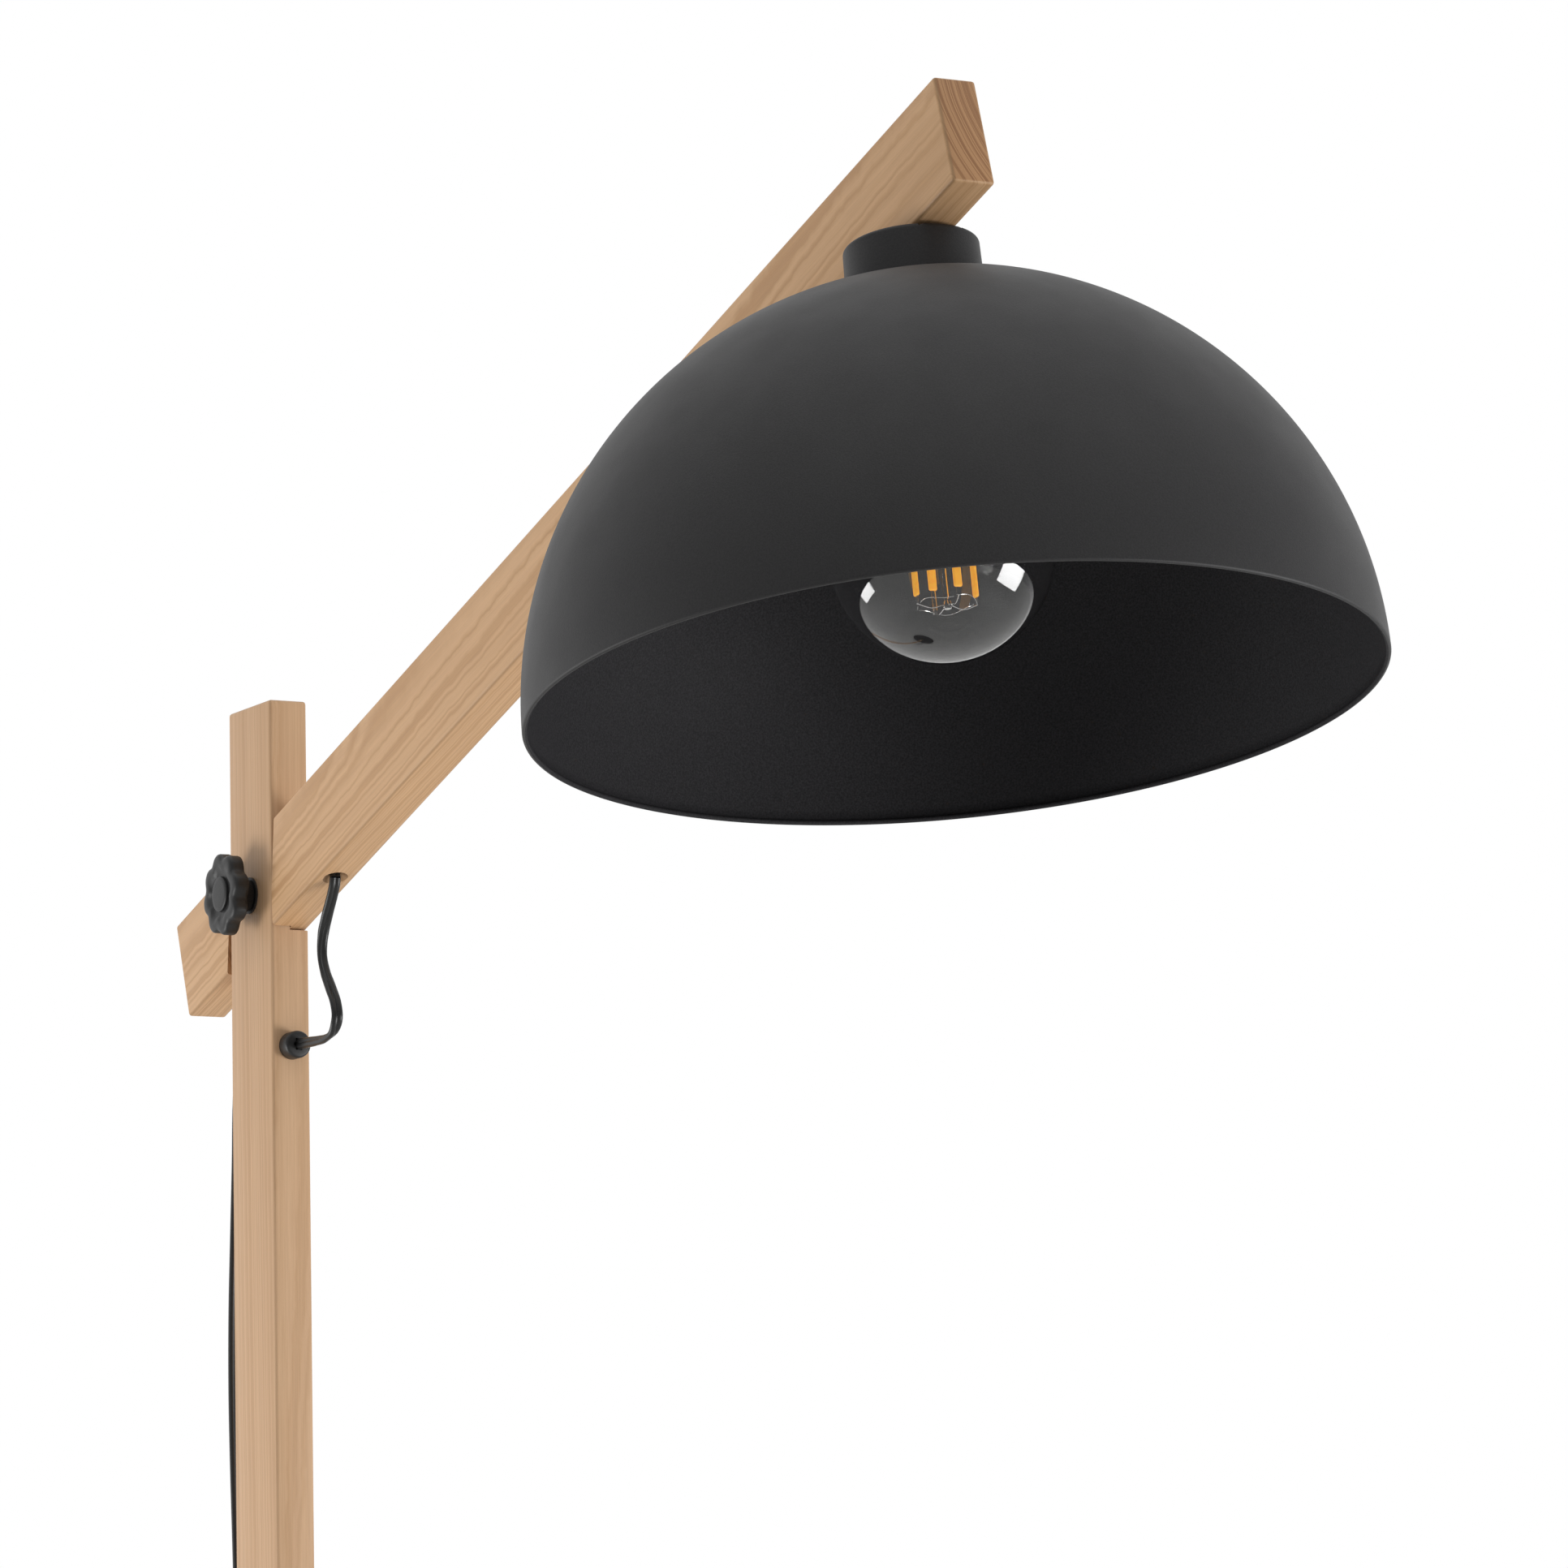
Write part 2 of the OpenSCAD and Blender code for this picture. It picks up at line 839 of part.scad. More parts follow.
module bulb_tip() {
    color([0.75, 0.75, 0.75])
        in_shade()
            translate([0, 0, bulb_top - 1])
                cylinder(r1 = 4.6, r2 = 3.4, h = 1);
}

module bulb_stem() {
    color([0.85, 0.9, 0.95, 0.4])
        in_shade() {
            translate([0, 0, -76])
                cylinder(r1 = 3.6, r2 = 12.3, h = 17.5);
            translate([0, 0, -100])
                cylinder(r = 3.6, h = 24);
            translate([0, 0, filament_end - 2])
                cylinder(r = 1.6, h = -100 - filament_end + 2);
        }
}

module filaments() {
    color([0.95, 0.65, 0.1])
        in_shade()
            for (i = [0:3])
                rotate(90 * i + filament_turn)
                    translate([filament_ring, 0, filament_end + filament_rise[i]])
                        cylinder(r = filament_r, h = filament_len);
}

module filament_wires() {
    hub_z = filament_end - wire_drop;
    color([0.8, 0.8, 0.8])
        in_shade() {
            translate([0, 0, hub_z - 1.4])
                cylinder(r = 2.2, h = 2.2);
            for (i = [0:3])
                rotate(90 * i + filament_turn)
                    translate([0, 0, hub_z]) {
                        rod_x(wire_r, 1, filament_ring + wire_r);
                        translate([filament_ring, 0, 0])
                            cylinder(r = wire_r, h = wire_drop + filament_rise[i]);
                    }
        }
}

// ---- free cord, foot switch and plug ----

module power_cord() {
    cord_tube(power_route, [0, 1, 0]);
}

module switch_base() {
    color([0.1, 0.1, 0.1])
        translate([switch_x, 0, 0])
            difference() {
                linear_extrude(switch_split)
                    round_rect(switch_l, switch_w, 12);
                translate([0, 0, 2])
                    linear_extrude(switch_split)
                        round_rect(switch_l - 5, switch_w - 5, 10);
            }
}

module switch_cover() {
    height = switch_h - switch_split;
    color([0.1, 0.1, 0.1])
        translate([switch_x, 0, switch_split + 0.1])
            difference() {
                union() {
                    linear_extrude(height - 3)
                        round_rect(switch_l, switch_w, 12);
                    linear_extrude(height)
                        round_rect(switch_l - 6, switch_w - 6, 10);
                }
                translate([0, 0, -past])
                    linear_extrude(height - 1.5)
                        round_rect(switch_l - 9, switch_w - 9, 8);
                cylinder(r = button_r + clear, h = 2 * height);
            }
}

module switch_button() {
    color([0.12, 0.12, 0.12])
        translate([switch_x, 0, 0]) {
            translate([0, 0, switch_split + 2])
                cylinder(r = button_r, h = switch_h - switch_split - 2 + button_up);
            translate([0, 0, switch_split + 2])
                cylinder(r = button_r + 2, h = 3);
        }
}

module switch_spring() {
    color([0.7, 0.7, 0.7])
        translate([switch_x, 0, 2.1])
            difference() {
                cylinder(r = 6, h = switch_split - 0.3);
                translate([0, 0, -past])
                    cylinder(r = 5, h = 20);
            }
}

module switch_reliefs() {
    color([0.08, 0.08, 0.08])
        for (side = [0, 180])
            translate([switch_x, 0, 7])
                rotate(side)
                    difference() {
                        translate([switch_l / 2 + 0.1, 0, 0])
                            rotate([0, 90, 0])
                                cylinder(r1 = 5.5, r2 = 4.2, h = relief_l);
                        rod_x(cord_bore_r, switch_l / 2, switch_l);
                    }
}

module switch_tail() {
    cord_tube(tail_route);
}

module plug_lead() {
    cord_tube(plug_route);
}

module cord_coil() {
    color([0.07, 0.07, 0.07])
        translate([coil_x, coil_y, tie_t])
            rotate_extrude($fn = 96)
                translate([coil_in, 0])
                    square([coil_out - coil_in, coil_h]);
}

module cord_tie() {
    middle = (coil_in + coil_out) / 2;
    depth = coil_out - coil_in + 1;
    color([0.2, 0.2, 0.2])
        translate([coil_x + middle, coil_y, 0])
            plate_y(-4, 4)
                difference() {
                    translate([-depth / 2 - tie_t, 0])
                        square([depth + 2 * tie_t, coil_h + 2 * tie_t + 0.2]);
                    translate([-depth / 2, tie_t - 0.01])
                        square([depth, coil_h + 0.2]);
                }
}

module plug_relief() {
    color([0.08, 0.08, 0.08])
        translate([plug_x - relief_l, plug_y, plug_t / 2])
            difference() {
                rotate([0, 90, 0])
                    cylinder(r1 = 3.9, r2 = 5.5, h = relief_l - 0.1);
                rod_x(cord_bore_r, -past, relief_l - 6);
            }
}

module plug_body() {
    color([0.08, 0.08, 0.08])
        translate([plug_x, plug_y, 0])
            difference() {
                union() {
                    translate([0, -7.5, 0])
                        cube([plug_l, 15, plug_t]);
                    translate([12, -plug_w / 2, 0])
                        cube([plug_l - 12, plug_w, plug_t]);
                }
                for (y = [-pin_gap / 2, pin_gap / 2])
                    translate([0, y, plug_t / 2])
                        rod_x(pin_r + fit, plug_l - 10, plug_l + past);
            }
}

module plug_pins() {
    color([0.8, 0.8, 0.78])
        for (y = [-pin_gap / 2, pin_gap / 2])
            translate([plug_x + plug_l, plug_y + y, plug_t / 2])
                rod_x(pin_r, -9, pin_l);
}

base_plate();
base_feet();
post_socket();
socket_bolts();
socket_screws();
post();
front_gland();
rear_grommet();
post_lead();
pivot_bolt();
bolt_washer();
knob_washer();
knob();
knob_insert();
knob_cap();
arm();
arm_lead();
jumper_cord();
tilt_bracket();
bracket_screws();
tilt_pin();
tilt_fork();
canopy();
shade_lead();
threaded_tube();
shade();
shade_washer();
lock_nut();
holder_cap();
holder_body();
holder_core();
holder_contact();
screw_shell();
bulb_glass();
bulb_cap();
bulb_insulator();
bulb_tip();
bulb_stem();
filaments();
filament_wires();
power_cord();
switch_base();
switch_cover();
switch_button();
switch_spring();
switch_reliefs();
switch_tail();
cord_coil();
cord_tie();
plug_lead();
plug_relief();
plug_body();
plug_pins();
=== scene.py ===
import json
import math

import bmesh
import bpy
from mathutils import Matrix, Vector


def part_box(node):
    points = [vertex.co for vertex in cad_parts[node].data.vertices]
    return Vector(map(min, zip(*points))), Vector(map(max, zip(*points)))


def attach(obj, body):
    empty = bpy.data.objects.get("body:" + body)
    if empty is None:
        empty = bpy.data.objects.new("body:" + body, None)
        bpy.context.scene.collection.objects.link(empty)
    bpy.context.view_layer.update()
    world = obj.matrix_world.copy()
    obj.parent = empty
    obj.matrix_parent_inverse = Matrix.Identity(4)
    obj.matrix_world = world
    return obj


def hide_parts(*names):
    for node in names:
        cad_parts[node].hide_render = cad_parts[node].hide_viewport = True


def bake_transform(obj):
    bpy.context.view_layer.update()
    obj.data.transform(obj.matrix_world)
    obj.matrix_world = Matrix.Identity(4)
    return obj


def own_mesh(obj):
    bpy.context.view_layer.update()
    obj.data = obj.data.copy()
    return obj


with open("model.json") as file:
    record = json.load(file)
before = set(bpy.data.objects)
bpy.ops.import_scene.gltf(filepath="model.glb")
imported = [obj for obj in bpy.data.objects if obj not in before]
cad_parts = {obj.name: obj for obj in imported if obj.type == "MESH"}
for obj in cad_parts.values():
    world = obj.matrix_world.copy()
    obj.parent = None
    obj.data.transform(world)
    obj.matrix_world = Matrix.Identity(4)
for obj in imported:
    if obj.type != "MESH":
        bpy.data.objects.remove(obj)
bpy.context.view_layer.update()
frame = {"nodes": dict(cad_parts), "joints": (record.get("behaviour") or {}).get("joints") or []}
nodes = frame["nodes"]
joints = {j["name"]: j for j in frame["joints"]}
scene = bpy.context.scene
scene.view_settings.view_transform = "Standard"

MM = 0.001
QUARTER_TURN = math.radians(90)

# ---- places and sizes, in metres, from the frame ----

PIVOT = Vector(joints["arm_tilt"]["pos_m"])
TILT_PIN = Vector(joints["shade_tilt"]["pos_m"])
ARM_RISE = math.radians(17.8)
SHADE_LEAN = math.radians(8.8)
ARM_DOWN = math.radians(-joints["arm_tilt"]["range_deg"][0])
ARM_UP = math.radians(joints["arm_tilt"]["range_deg"][1])
# the arm's own X runs along it from the bolt; its head is the shade's end
BOARD_W = 0.050
BOARD_T = 0.020
BOARD_EDGE = 0.0016
POST_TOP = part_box("post")[1].z
POST_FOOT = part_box("post")[0].z
ARM_HEAD = 0.752
ARM_TAIL = 0.090
LAP_CLEAR = 0.0003
GLAND_Z = PIVOT.z - 0.077
BOLT_HOLE_R = 0.00405
CORD_HOLE_R = 0.00495
LEAD_HOLE_R = 0.0035
LEAD_TAIL_AT = 0.075
LEAD_HEAD_AT = 0.683
SHADE_R = 0.180
SHADE_WALL = 0.001
# drops are measured down from the tilt pin, in the shade's own frame
APEX_DROP = 0.010
RIM_DROP = APEX_DROP + SHADE_R
BULB_R = 0.0475
BULB_DROP = RIM_DROP - 0.065
CORD_W = 0.0056
CORD_T = 0.0033

# each frame carries a part's own drawing to where it stands at rest
arm_frame = Matrix.Translation(PIVOT) @ Matrix.Rotation(-ARM_RISE, 4, "Y")
shade_frame = Matrix.Translation(TILT_PIN) @ Matrix.Rotation(-SHADE_LEAN, 4, "Y")
pivot_frame = Matrix.Translation(PIVOT)
# +Z of this frame comes out of the knob's face of the post
knob_frame = pivot_frame @ Matrix.Rotation(QUARTER_TURN, 4, "X")


# ---- camera ----

CAMERA_AT = (3.3637, -1.4966, PIVOT.z - 0.4972)
CAMERA_LENS = 172.19
CAMERA_TURN = math.radians(62.035)
CAMERA_PITCH = math.radians(8.493)
CAMERA_ROLL = math.radians(-1.1275)


def add_camera():
    """The camera stands low, in front of the knob's face, and looks up at the shade."""
    data = bpy.data.cameras.new("camera")
    data.sensor_width = 36
    data.lens = CAMERA_LENS
    camera = bpy.data.objects.new("camera", data)
    scene.collection.objects.link(camera)
    aim = Matrix.Rotation(CAMERA_TURN, 4, "Z") @ Matrix.Rotation(QUARTER_TURN + CAMERA_PITCH, 4, "X")
    camera.matrix_world = Matrix.Translation(CAMERA_AT) @ aim @ Matrix.Rotation(CAMERA_ROLL, 4, "Z")
    data.clip_start = 0.05
    data.clip_end = 100
    scene.camera = camera


add_camera()


# ---- mesh helpers ----

def link(name, mesh):
    """Puts a mesh into the scene as a piece."""
    piece = bpy.data.objects.new(name, mesh)
    scene.collection.objects.link(piece)
    return piece


def mesh_piece(name, points, faces):
    """A piece from its points and faces."""
    mesh = bpy.data.meshes.new(name)
    mesh.from_pydata([tuple(p) for p in points], [], faces)
    mesh.update()
    return link(name, mesh)


def settle(piece):
    """Applies a piece's modifiers to its mesh."""
    graph = bpy.context.evaluated_depsgraph_get()
    mesh = bpy.data.meshes.new_from_object(piece.evaluated_get(graph))
    piece.modifiers.clear()
    piece.data = mesh
    return piece


def bevel(piece, width, segments=3, angle=35):
    """Rounds every edge that is sharper than angle."""
    modifier = piece.modifiers.new("bevel", "BEVEL")
    modifier.width = width
    modifier.segments = segments
    modifier.limit_method = "ANGLE"
    modifier.angle_limit = math.radians(angle)
    return settle(piece)


def cut(piece, *cutters, operation="DIFFERENCE"):
    """Cuts (or joins) the cutters into piece, and removes them."""
    for cutter in cutters:
        modifier = piece.modifiers.new("cut", "BOOLEAN")
        modifier.operation = operation
        modifier.object = cutter
        modifier.solver = "EXACT"
        settle(piece)
        bpy.data.objects.remove(cutter)
    return piece


def place(piece, matrix):
    """Moves a piece's mesh; its object stays at the origin."""
    piece.data.transform(matrix)
    return piece


def smooth(piece, angle=35):
    """Shades a piece smoothly, except over edges sharper than angle."""
    for polygon in piece.data.polygons:
        polygon.use_smooth = True
    piece.data.set_sharp_from_angle(angle=math.radians(angle))
    return piece


def done(piece, material, slot, body, *replaced, angle=35):
    """Gives a finished piece its material and body; its slot is not used."""
    smooth(piece, angle)
    piece.data.materials.clear()
    piece.data.materials.append(material)
    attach(piece, body)
    if replaced:
        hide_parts(*replaced)
    return piece


def block(name, low, high):
    """A box between two corners."""
    (x0, y0, z0), (x1, y1, z1) = low, high
    points = [(x, y, z) for x in (x0, x1) for y in (y0, y1) for z in (z0, z1)]
    faces = [(0, 1, 3, 2), (4, 6, 7, 5), (0, 4, 5, 1), (2, 3, 7, 6), (0, 2, 6, 4), (1, 5, 7, 3)]
    return mesh_piece(name, points, faces)


def prism(name, outline, z0, z1):
    """A solid between two levels, from an outline that runs anticlockwise."""
    n = len(outline)
    points = [(x, y, z) for z in (z0, z1) for x, y in outline]
    sides = [(i, (i + 1) % n, n + (i + 1) % n, n + i) for i in range(n)]
    caps = [tuple(range(n - 1, -1, -1)), tuple(range(n, 2 * n))]
    return mesh_piece(name, points, sides + caps)


def circle(radius, count, centre=(0, 0)):
    """Points round a circle, anticlockwise."""
    turn = 2 * math.pi / count
    return [
        (centre[0] + radius * math.cos(i * turn), centre[1] + radius * math.sin(i * turn))
        for i in range(count)
    ]


def rod(name, radius, z0, z1, count=64):
    """A round rod along Z."""
    return prism(name, circle(radius, count), z0, z1)


ON_AXIS = 1e-7


def lathe(name, profile, count=96):
    """Turns a profile of (radius, height) about Z; a radius of 0 closes it at the axis."""
    points, rings = [], []
    for radius, height in profile:
        if radius < ON_AXIS:
            rings.append([len(points)])
            points.append((0, 0, height))
        else:
            rings.append(list(range(len(points), len(points) + count)))
            points += [(x, y, height) for x, y in circle(radius, count)]
    faces = []
    closed = profile[0][0] > ON_AXIS and profile[-1][0] > ON_AXIS
    pairs = list(zip(rings, rings[1:])) + ([(rings[-1], rings[0])] if closed else [])
    for low, high in pairs:
        for i in range(count):
            j = (i + 1) % count
            a, b = low[i % len(low)], low[j % len(low)]
            c, d = high[j % len(high)], high[i % len(high)]
            corners = list(dict.fromkeys((a, b, c, d)))
            if len(corners) > 2:
                faces.append(tuple(corners))
    piece = mesh_piece(name, points, faces)
    work = bmesh.new()
    work.from_mesh(piece.data)
    bmesh.ops.recalc_face_normals(work, faces=work.faces)
    work.to_mesh(piece.data)
    work.free()
    return piece


def arc(centre, radius, start, end, steps):
    """Points on an arc in the profile plane; angles in degrees."""
    angles = [math.radians(start + (end - start) * i / steps) for i in range(steps + 1)]
    return [(centre[0] + radius * math.cos(a), centre[1] + radius * math.sin(a)) for a in angles]


def ease(t):
    """Goes from 0 to 1 with a level start and end."""
    return t * t * (3 - 2 * t)


def sweep(name, rings):
    """Skins rings of equal count into a closed tube with flat ends."""
    count = len(rings[0])
    faces = [
        (i * count + k, i * count + (k + 1) % count, (i + 1) * count + (k + 1) % count, (i + 1) * count + k)
        for i in range(len(rings) - 1)
        for k in range(count)
    ]
    last = (len(rings) - 1) * count
    faces += [tuple(range(count - 1, -1, -1)), tuple(range(last, last + count))]
    return mesh_piece(name, [point for ring in rings for point in ring], faces)


def heading(line, i):
    """The direction of a line at its point i."""
    return (line[min(i + 1, len(line) - 1)] - line[max(i - 1, 0)]).normalized()


def tube_along(name, points, radius, count=10):
    """A round tube along a few points."""
    points = [Vector(p) for p in points]
    side = heading(points, 0).orthogonal().normalized()
    rings = []
    for i, p in enumerate(points):
        ahead = heading(points, i)
        side = side if i == 0 else (side - ahead * side.dot(ahead)).normalized()
        rise = ahead.cross(side)
        rings.append([p + side * x + rise * y for x, y in circle(radius, count)])
    return sweep(name, rings)


def join(name, pieces):
    """Joins pieces into one mesh."""
    work = bmesh.new()
    for piece in pieces:
        work.from_mesh(piece.data)
        bpy.data.objects.remove(piece)
    mesh = bpy.data.meshes.new(name)
    work.to_mesh(mesh)
    work.free()
    return link(name, mesh)


# ---- cords ----

def smooth_line(points, step):
    """A smooth curve through the points, with a ring about every step metres."""
    points = [Vector(p) for p in points]
    gaps = [(b - a).length for a, b in zip(points, points[1:])]
    slopes = []
    for i in range(len(points)):
        before = (points[i] - points[i - 1]) / gaps[i - 1] if i > 0 else None
        after = (points[i + 1] - points[i]) / gaps[i] if i < len(gaps) else None
        if before is None or after is None:
            slopes.append((after if before is None else before).normalized())
        else:
            share = gaps[i - 1] / (gaps[i - 1] + gaps[i])
            slopes.append((before * (1 - share) + after * share).normalized())
    line, places = [], []
    for i, gap in enumerate(gaps):
        count = max(1, round(gap / step))
        for k in range(count):
            t = k / count
            line.append(
                points[i] * (2 * t ** 3 - 3 * t ** 2 + 1)
                + slopes[i] * gap * (t ** 3 - 2 * t ** 2 + t)
                + points[i + 1] * (3 * t ** 2 - 2 * t ** 3)
                + slopes[i + 1] * gap * (t ** 3 - t ** 2)
            )
            places.append(i + t)
    line.append(points[-1])
    places.append(len(points) - 1)
    return line, places


def twin_section(width, thickness, count=9):
    """The figure-of-eight outline of a flat twin cord."""
    radius = thickness / 2
    centre = width / 2 - radius
    half = math.degrees(math.acos(centre / radius))
    right = arc((centre, 0), radius, half - 180, 180 - half, count)
    left = arc((-centre, 0), radius, half, 360 - half, count)
    return right[:-1] + left[:-1]


def flat_cord(name, line, sides):
    """Sweeps the twin section along line; sides gives the direction of the width at each point."""
    section = twin_section(CORD_W, CORD_T)
    rings = []
    for i, p in enumerate(line):
        ahead = heading(line, i)
        side = (sides[i] - ahead * sides[i].dot(ahead)).normalized()
        rise = ahead.cross(side)
        rings.append([p + side * x + rise * y for x, y in section])
    return sweep(name, rings)


def turned_sides(places, turns):
    """Directions of the width along a line, blended between (place, direction) marks."""
    sides = []
    for place_on_line in places:
        for (p0, d0), (p1, d1) in zip(turns, turns[1:]):
            if place_on_line <= p1:
                t = ease((place_on_line - p0) / (p1 - p0))
                sides.append(Vector(d0).lerp(Vector(d1), t).normalized())
                break
        else:
            sides.append(Vector(turns[-1][1]))
    return sides


ALONG_Y = (0, 1, 0)
UPRIGHT = (0, 0, 1)
# routes are centre lines; the arm's is in the arm's own frame and the others are where the cords lie
POWER_ROUTE = [
    (-0.0262, 0, 1.223), (-0.031, 0, 1.2225), (-0.0355, 0, 1.2195), (-0.0385, 0, 1.214),
    (-0.040, 0, 1.204), (-0.042, 0, 1.172), (-0.045, 0, 1.134), (-0.0476, 0, 1.098),
    (-0.0485, 0, 1.060), (-0.0475, 0, 1.024), (-0.0455, 0, 0.985), (-0.0425, 0, 0.900),
    (-0.040, -0.001, 0.760), (-0.040, 0, 0.600), (-0.042, 0.001, 0.430), (-0.043, 0.001, 0.260),
    (-0.0435, 0, 0.140), (-0.045, 0, 0.084), (-0.049, 0, 0.048), (-0.057, 0, 0.026),
    (-0.071, 0, 0.017), (-0.092, 0, 0.0148), (-0.130, 0, 0.0148), (-0.164, 0, 0.0148),
    (-0.174, 0, 0.0146), (-0.183, 0, 0.0122), (-0.190, 0, 0.009), (-0.198, 0, 0.0072),
    (-0.206, 0, 0.007),
]
JUMPER_ROUTE = [
    (0.079, 0, 1.2992), (0.0784, 0, 1.2966), (0.0753, 0, 1.291), (0.069, 0, 1.282),
    (0.064, 0, 1.273), (0.0627, 0, 1.264), (0.066, 0, 1.255), (0.0725, 0, 1.246),
    (0.078, 0, 1.238), (0.0795, 0, 1.231), (0.076, 0, 1.2253), (0.068, 0, 1.2226),
    (0.056, 0, 1.2222), (0.044, 0, 1.2227), (0.0348, 0, 1.223),
]
ARM_ROUTE = [
    (LEAD_HEAD_AT, 0, -0.0262), (LEAD_HEAD_AT, 0, 0), (LEAD_HEAD_AT, 0, 0.0225), (0.6816, 0, 0.0262),
    (0.678, 0, 0.0289), (0.673, 0, 0.0303), (0.667, 0, 0.0307), (0.659, 0, 0.0303),
    (0.650, 0, 0.029), (0.637, 0, 0.0262), (0.625, 0, 0.024), (0.612, 0, 0.0229),
    (0.600, 0, 0.0228), (0.340, 0, 0.0228), (0.110, 0, 0.0228), (0.096, 0, 0.0228),
    (0.088, 0, 0.022), (0.081, 0, 0.019), (0.0765, 0, 0.014), (LEAD_TAIL_AT, 0, 0.008),
    (LEAD_TAIL_AT, 0, -0.0249),
]
TAIL_ROUTE = [
    (-0.324, 0, 0.007), (-0.331, 0.0008, 0.0064), (-0.338, 0.0036, 0.0048),
    (-0.3432, 0.0088, 0.0038), (-0.346, 0.016, 0.0034), (-0.3466, 0.026, 0.0034),
    (-0.345, 0.038, 0.0034), (-0.342, 0.050, 0.0036), (-0.3386, 0.062, 0.0037),
]
PLUG_ROUTE = [
    (-0.304, 0.1079, 0.0096), (-0.296, 0.108, 0.0094), (-0.288, 0.1074, 0.0088),
    (-0.280, 0.1064, 0.0076), (-0.272, 0.106, 0.0069),
]
# the coil lies on the floor in two layers, each wound from COIL_OUT in to COIL_IN
COIL_CENTRE = (-0.300, 0.072)
COIL_OUT = 0.0357
COIL_IN = 0.0266
COIL_PITCH = 0.0034


# ---- materials ----

class Nodes:
    """An emptied node tree, and short ways to add nodes to it; a value may be a number or a socket."""

    def __init__(self, tree):
        self.tree = tree
        tree.nodes.clear()

    def add(self, kind, values=None, **settings):
        node = self.tree.nodes.new("ShaderNode" + kind)
        for key, value in settings.items():
            setattr(node, key, value)
        for key, value in (values or {}).items():
            self.put(node.inputs[key], value)
        return node

    def put(self, socket, value):
        if isinstance(value, bpy.types.NodeSocket):
            self.tree.links.new(value, socket)
        else:
            socket.default_value = value

    def math(self, operation, a, b=0.0):
        return self.add("Math", {0: a, 1: b}, operation=operation).outputs[0]

    def vector(self, operation, a, b):
        output = "Value" if operation == "DOT_PRODUCT" else "Vector"
        return self.add("VectorMath", {0: a, 1: b}, operation=operation).outputs[output]

    def span(self, factor, low, high, out_low, out_high, **settings):
        values = {"Value": factor, "From Min": low, "From Max": high, "To Min": out_low, "To Max": out_high}
        return self.add("MapRange", values, **settings).outputs["Result"]


class Finish(Nodes):
    """A material with one Principled shader."""

    def __init__(self, name, roughness, metallic=0.0, specular=0.5):
        self.material = bpy.data.materials.new(name)
        self.material.use_nodes = True
        super().__init__(self.material.node_tree)
        self.shader = self.add("BsdfPrincipled", {
            "Roughness": roughness,
            "Metallic": metallic,
            "Specular IOR Level": specular,
        })
        self.add("OutputMaterial", {"Surface": self.shader.outputs["BSDF"]})
        self.place = self.add("TexCoord").outputs["Object"]

    def stretched(self, scale, source=None):
        source = self.place if source is None else source
        return self.add("Mapping", {"Vector": source, "Scale": scale}).outputs["Vector"]

    def noise(self, scale, detail=2.0, source=None, roughness=0.5):
        source = self.place if source is None else source
        values = {"Vector": source, "Scale": scale, "Detail": detail, "Roughness": roughness}
        return self.add("TexNoise", values).outputs["Fac"]

    def ramp(self, factor, *stops):
        node = self.add("ValToRGB", {"Fac": factor})
        while len(node.color_ramp.elements) < len(stops):
            node.color_ramp.elements.new(0.5)
        for element, (position, colour) in zip(node.color_ramp.elements, stops):
            element.position = position
            element.color = (*colour, 1)
        return node.outputs["Color"]

    def blend(self, factor, a, b, mode="MIX"):
        # a colour mix keeps its factor, two colours and result in these sockets
        factor_in, a_in, b_in, result = 0, 6, 7, 2
        node = self.add("Mix", data_type="RGBA", blend_type=mode)
        self.put(node.inputs[factor_in], factor)
        self.put(node.inputs[a_in], a)
        self.put(node.inputs[b_in], b)
        return node.outputs[result]

    def colour(self, value):
        self.put(self.shader.inputs["Base Color"], value)

    def bump(self, height, distance, strength=1.0):
        values = {"Height": height, "Distance": distance, "Strength": strength}
        self.put(self.shader.inputs["Normal"], self.add("Bump", values).outputs["Normal"])


def speckled(name, dark, light, grain, roughness, spread, bump, **more):
    """A finish whose colour, gloss and height all vary.

    grain is the noise's scale, spread how far the gloss wanders and bump the relief in metres."""
    finish = Finish(name, roughness, **more)
    fine = finish.noise(grain, 3.0)
    finish.colour(finish.ramp(fine, (0.32, dark), (0.68, light)))
    patches = finish.noise(35, 3.0)
    gloss = finish.span(patches, 0.3, 0.7, roughness - spread, roughness + spread)
    finish.put(finish.shader.inputs["Roughness"], gloss)
    finish.bump(fine, bump)
    return finish.material


def wander(finish, here, stretch, sway):
    """A sideways drift of the rings that changes along the board."""
    drift = finish.add("TexNoise", {"Vector": finish.stretched(stretch, here), "Scale": 1.0, "Detail": 2.0})
    centred = finish.vector("SUBTRACT", drift.outputs["Color"], (0.5, 0.5, 0.5))
    return finish.vector("MULTIPLY", centred, (0, sway, sway))


def ring_age(finish, here, pith, ring):
    """How many rings a place lies from the pith, with rings of uneven width."""
    moved = finish.vector("ADD", here, wander(finish, here, (2.6, 12, 12), 0.006))
    moved = finish.vector("ADD", moved, wander(finish, here, (75, 22, 22), 0.0011))
    parts = finish.add("SeparateXYZ", {0: moved})
    across = finish.math("SUBTRACT", parts.outputs["Y"], pith[0])
    up = finish.math("SUBTRACT", parts.outputs["Z"], pith[1])
    squares = finish.math("ADD", finish.math("POWER", across, 2.0), finish.math("POWER", up, 2.0))
    taper = finish.math("MULTIPLY", parts.outputs["X"], 0.012)
    age = finish.math("DIVIDE", finish.math("ADD", finish.math("SQRT", squares), taper), ring)
    uneven = finish.add("TexNoise", {"Scale": 0.45, "Detail": 2.0, "W": age}, noise_dimensions="1D")
    return finish.math("ADD", age, finish.span(uneven.outputs["Fac"], 0.3, 0.7, -0.9, 0.9))


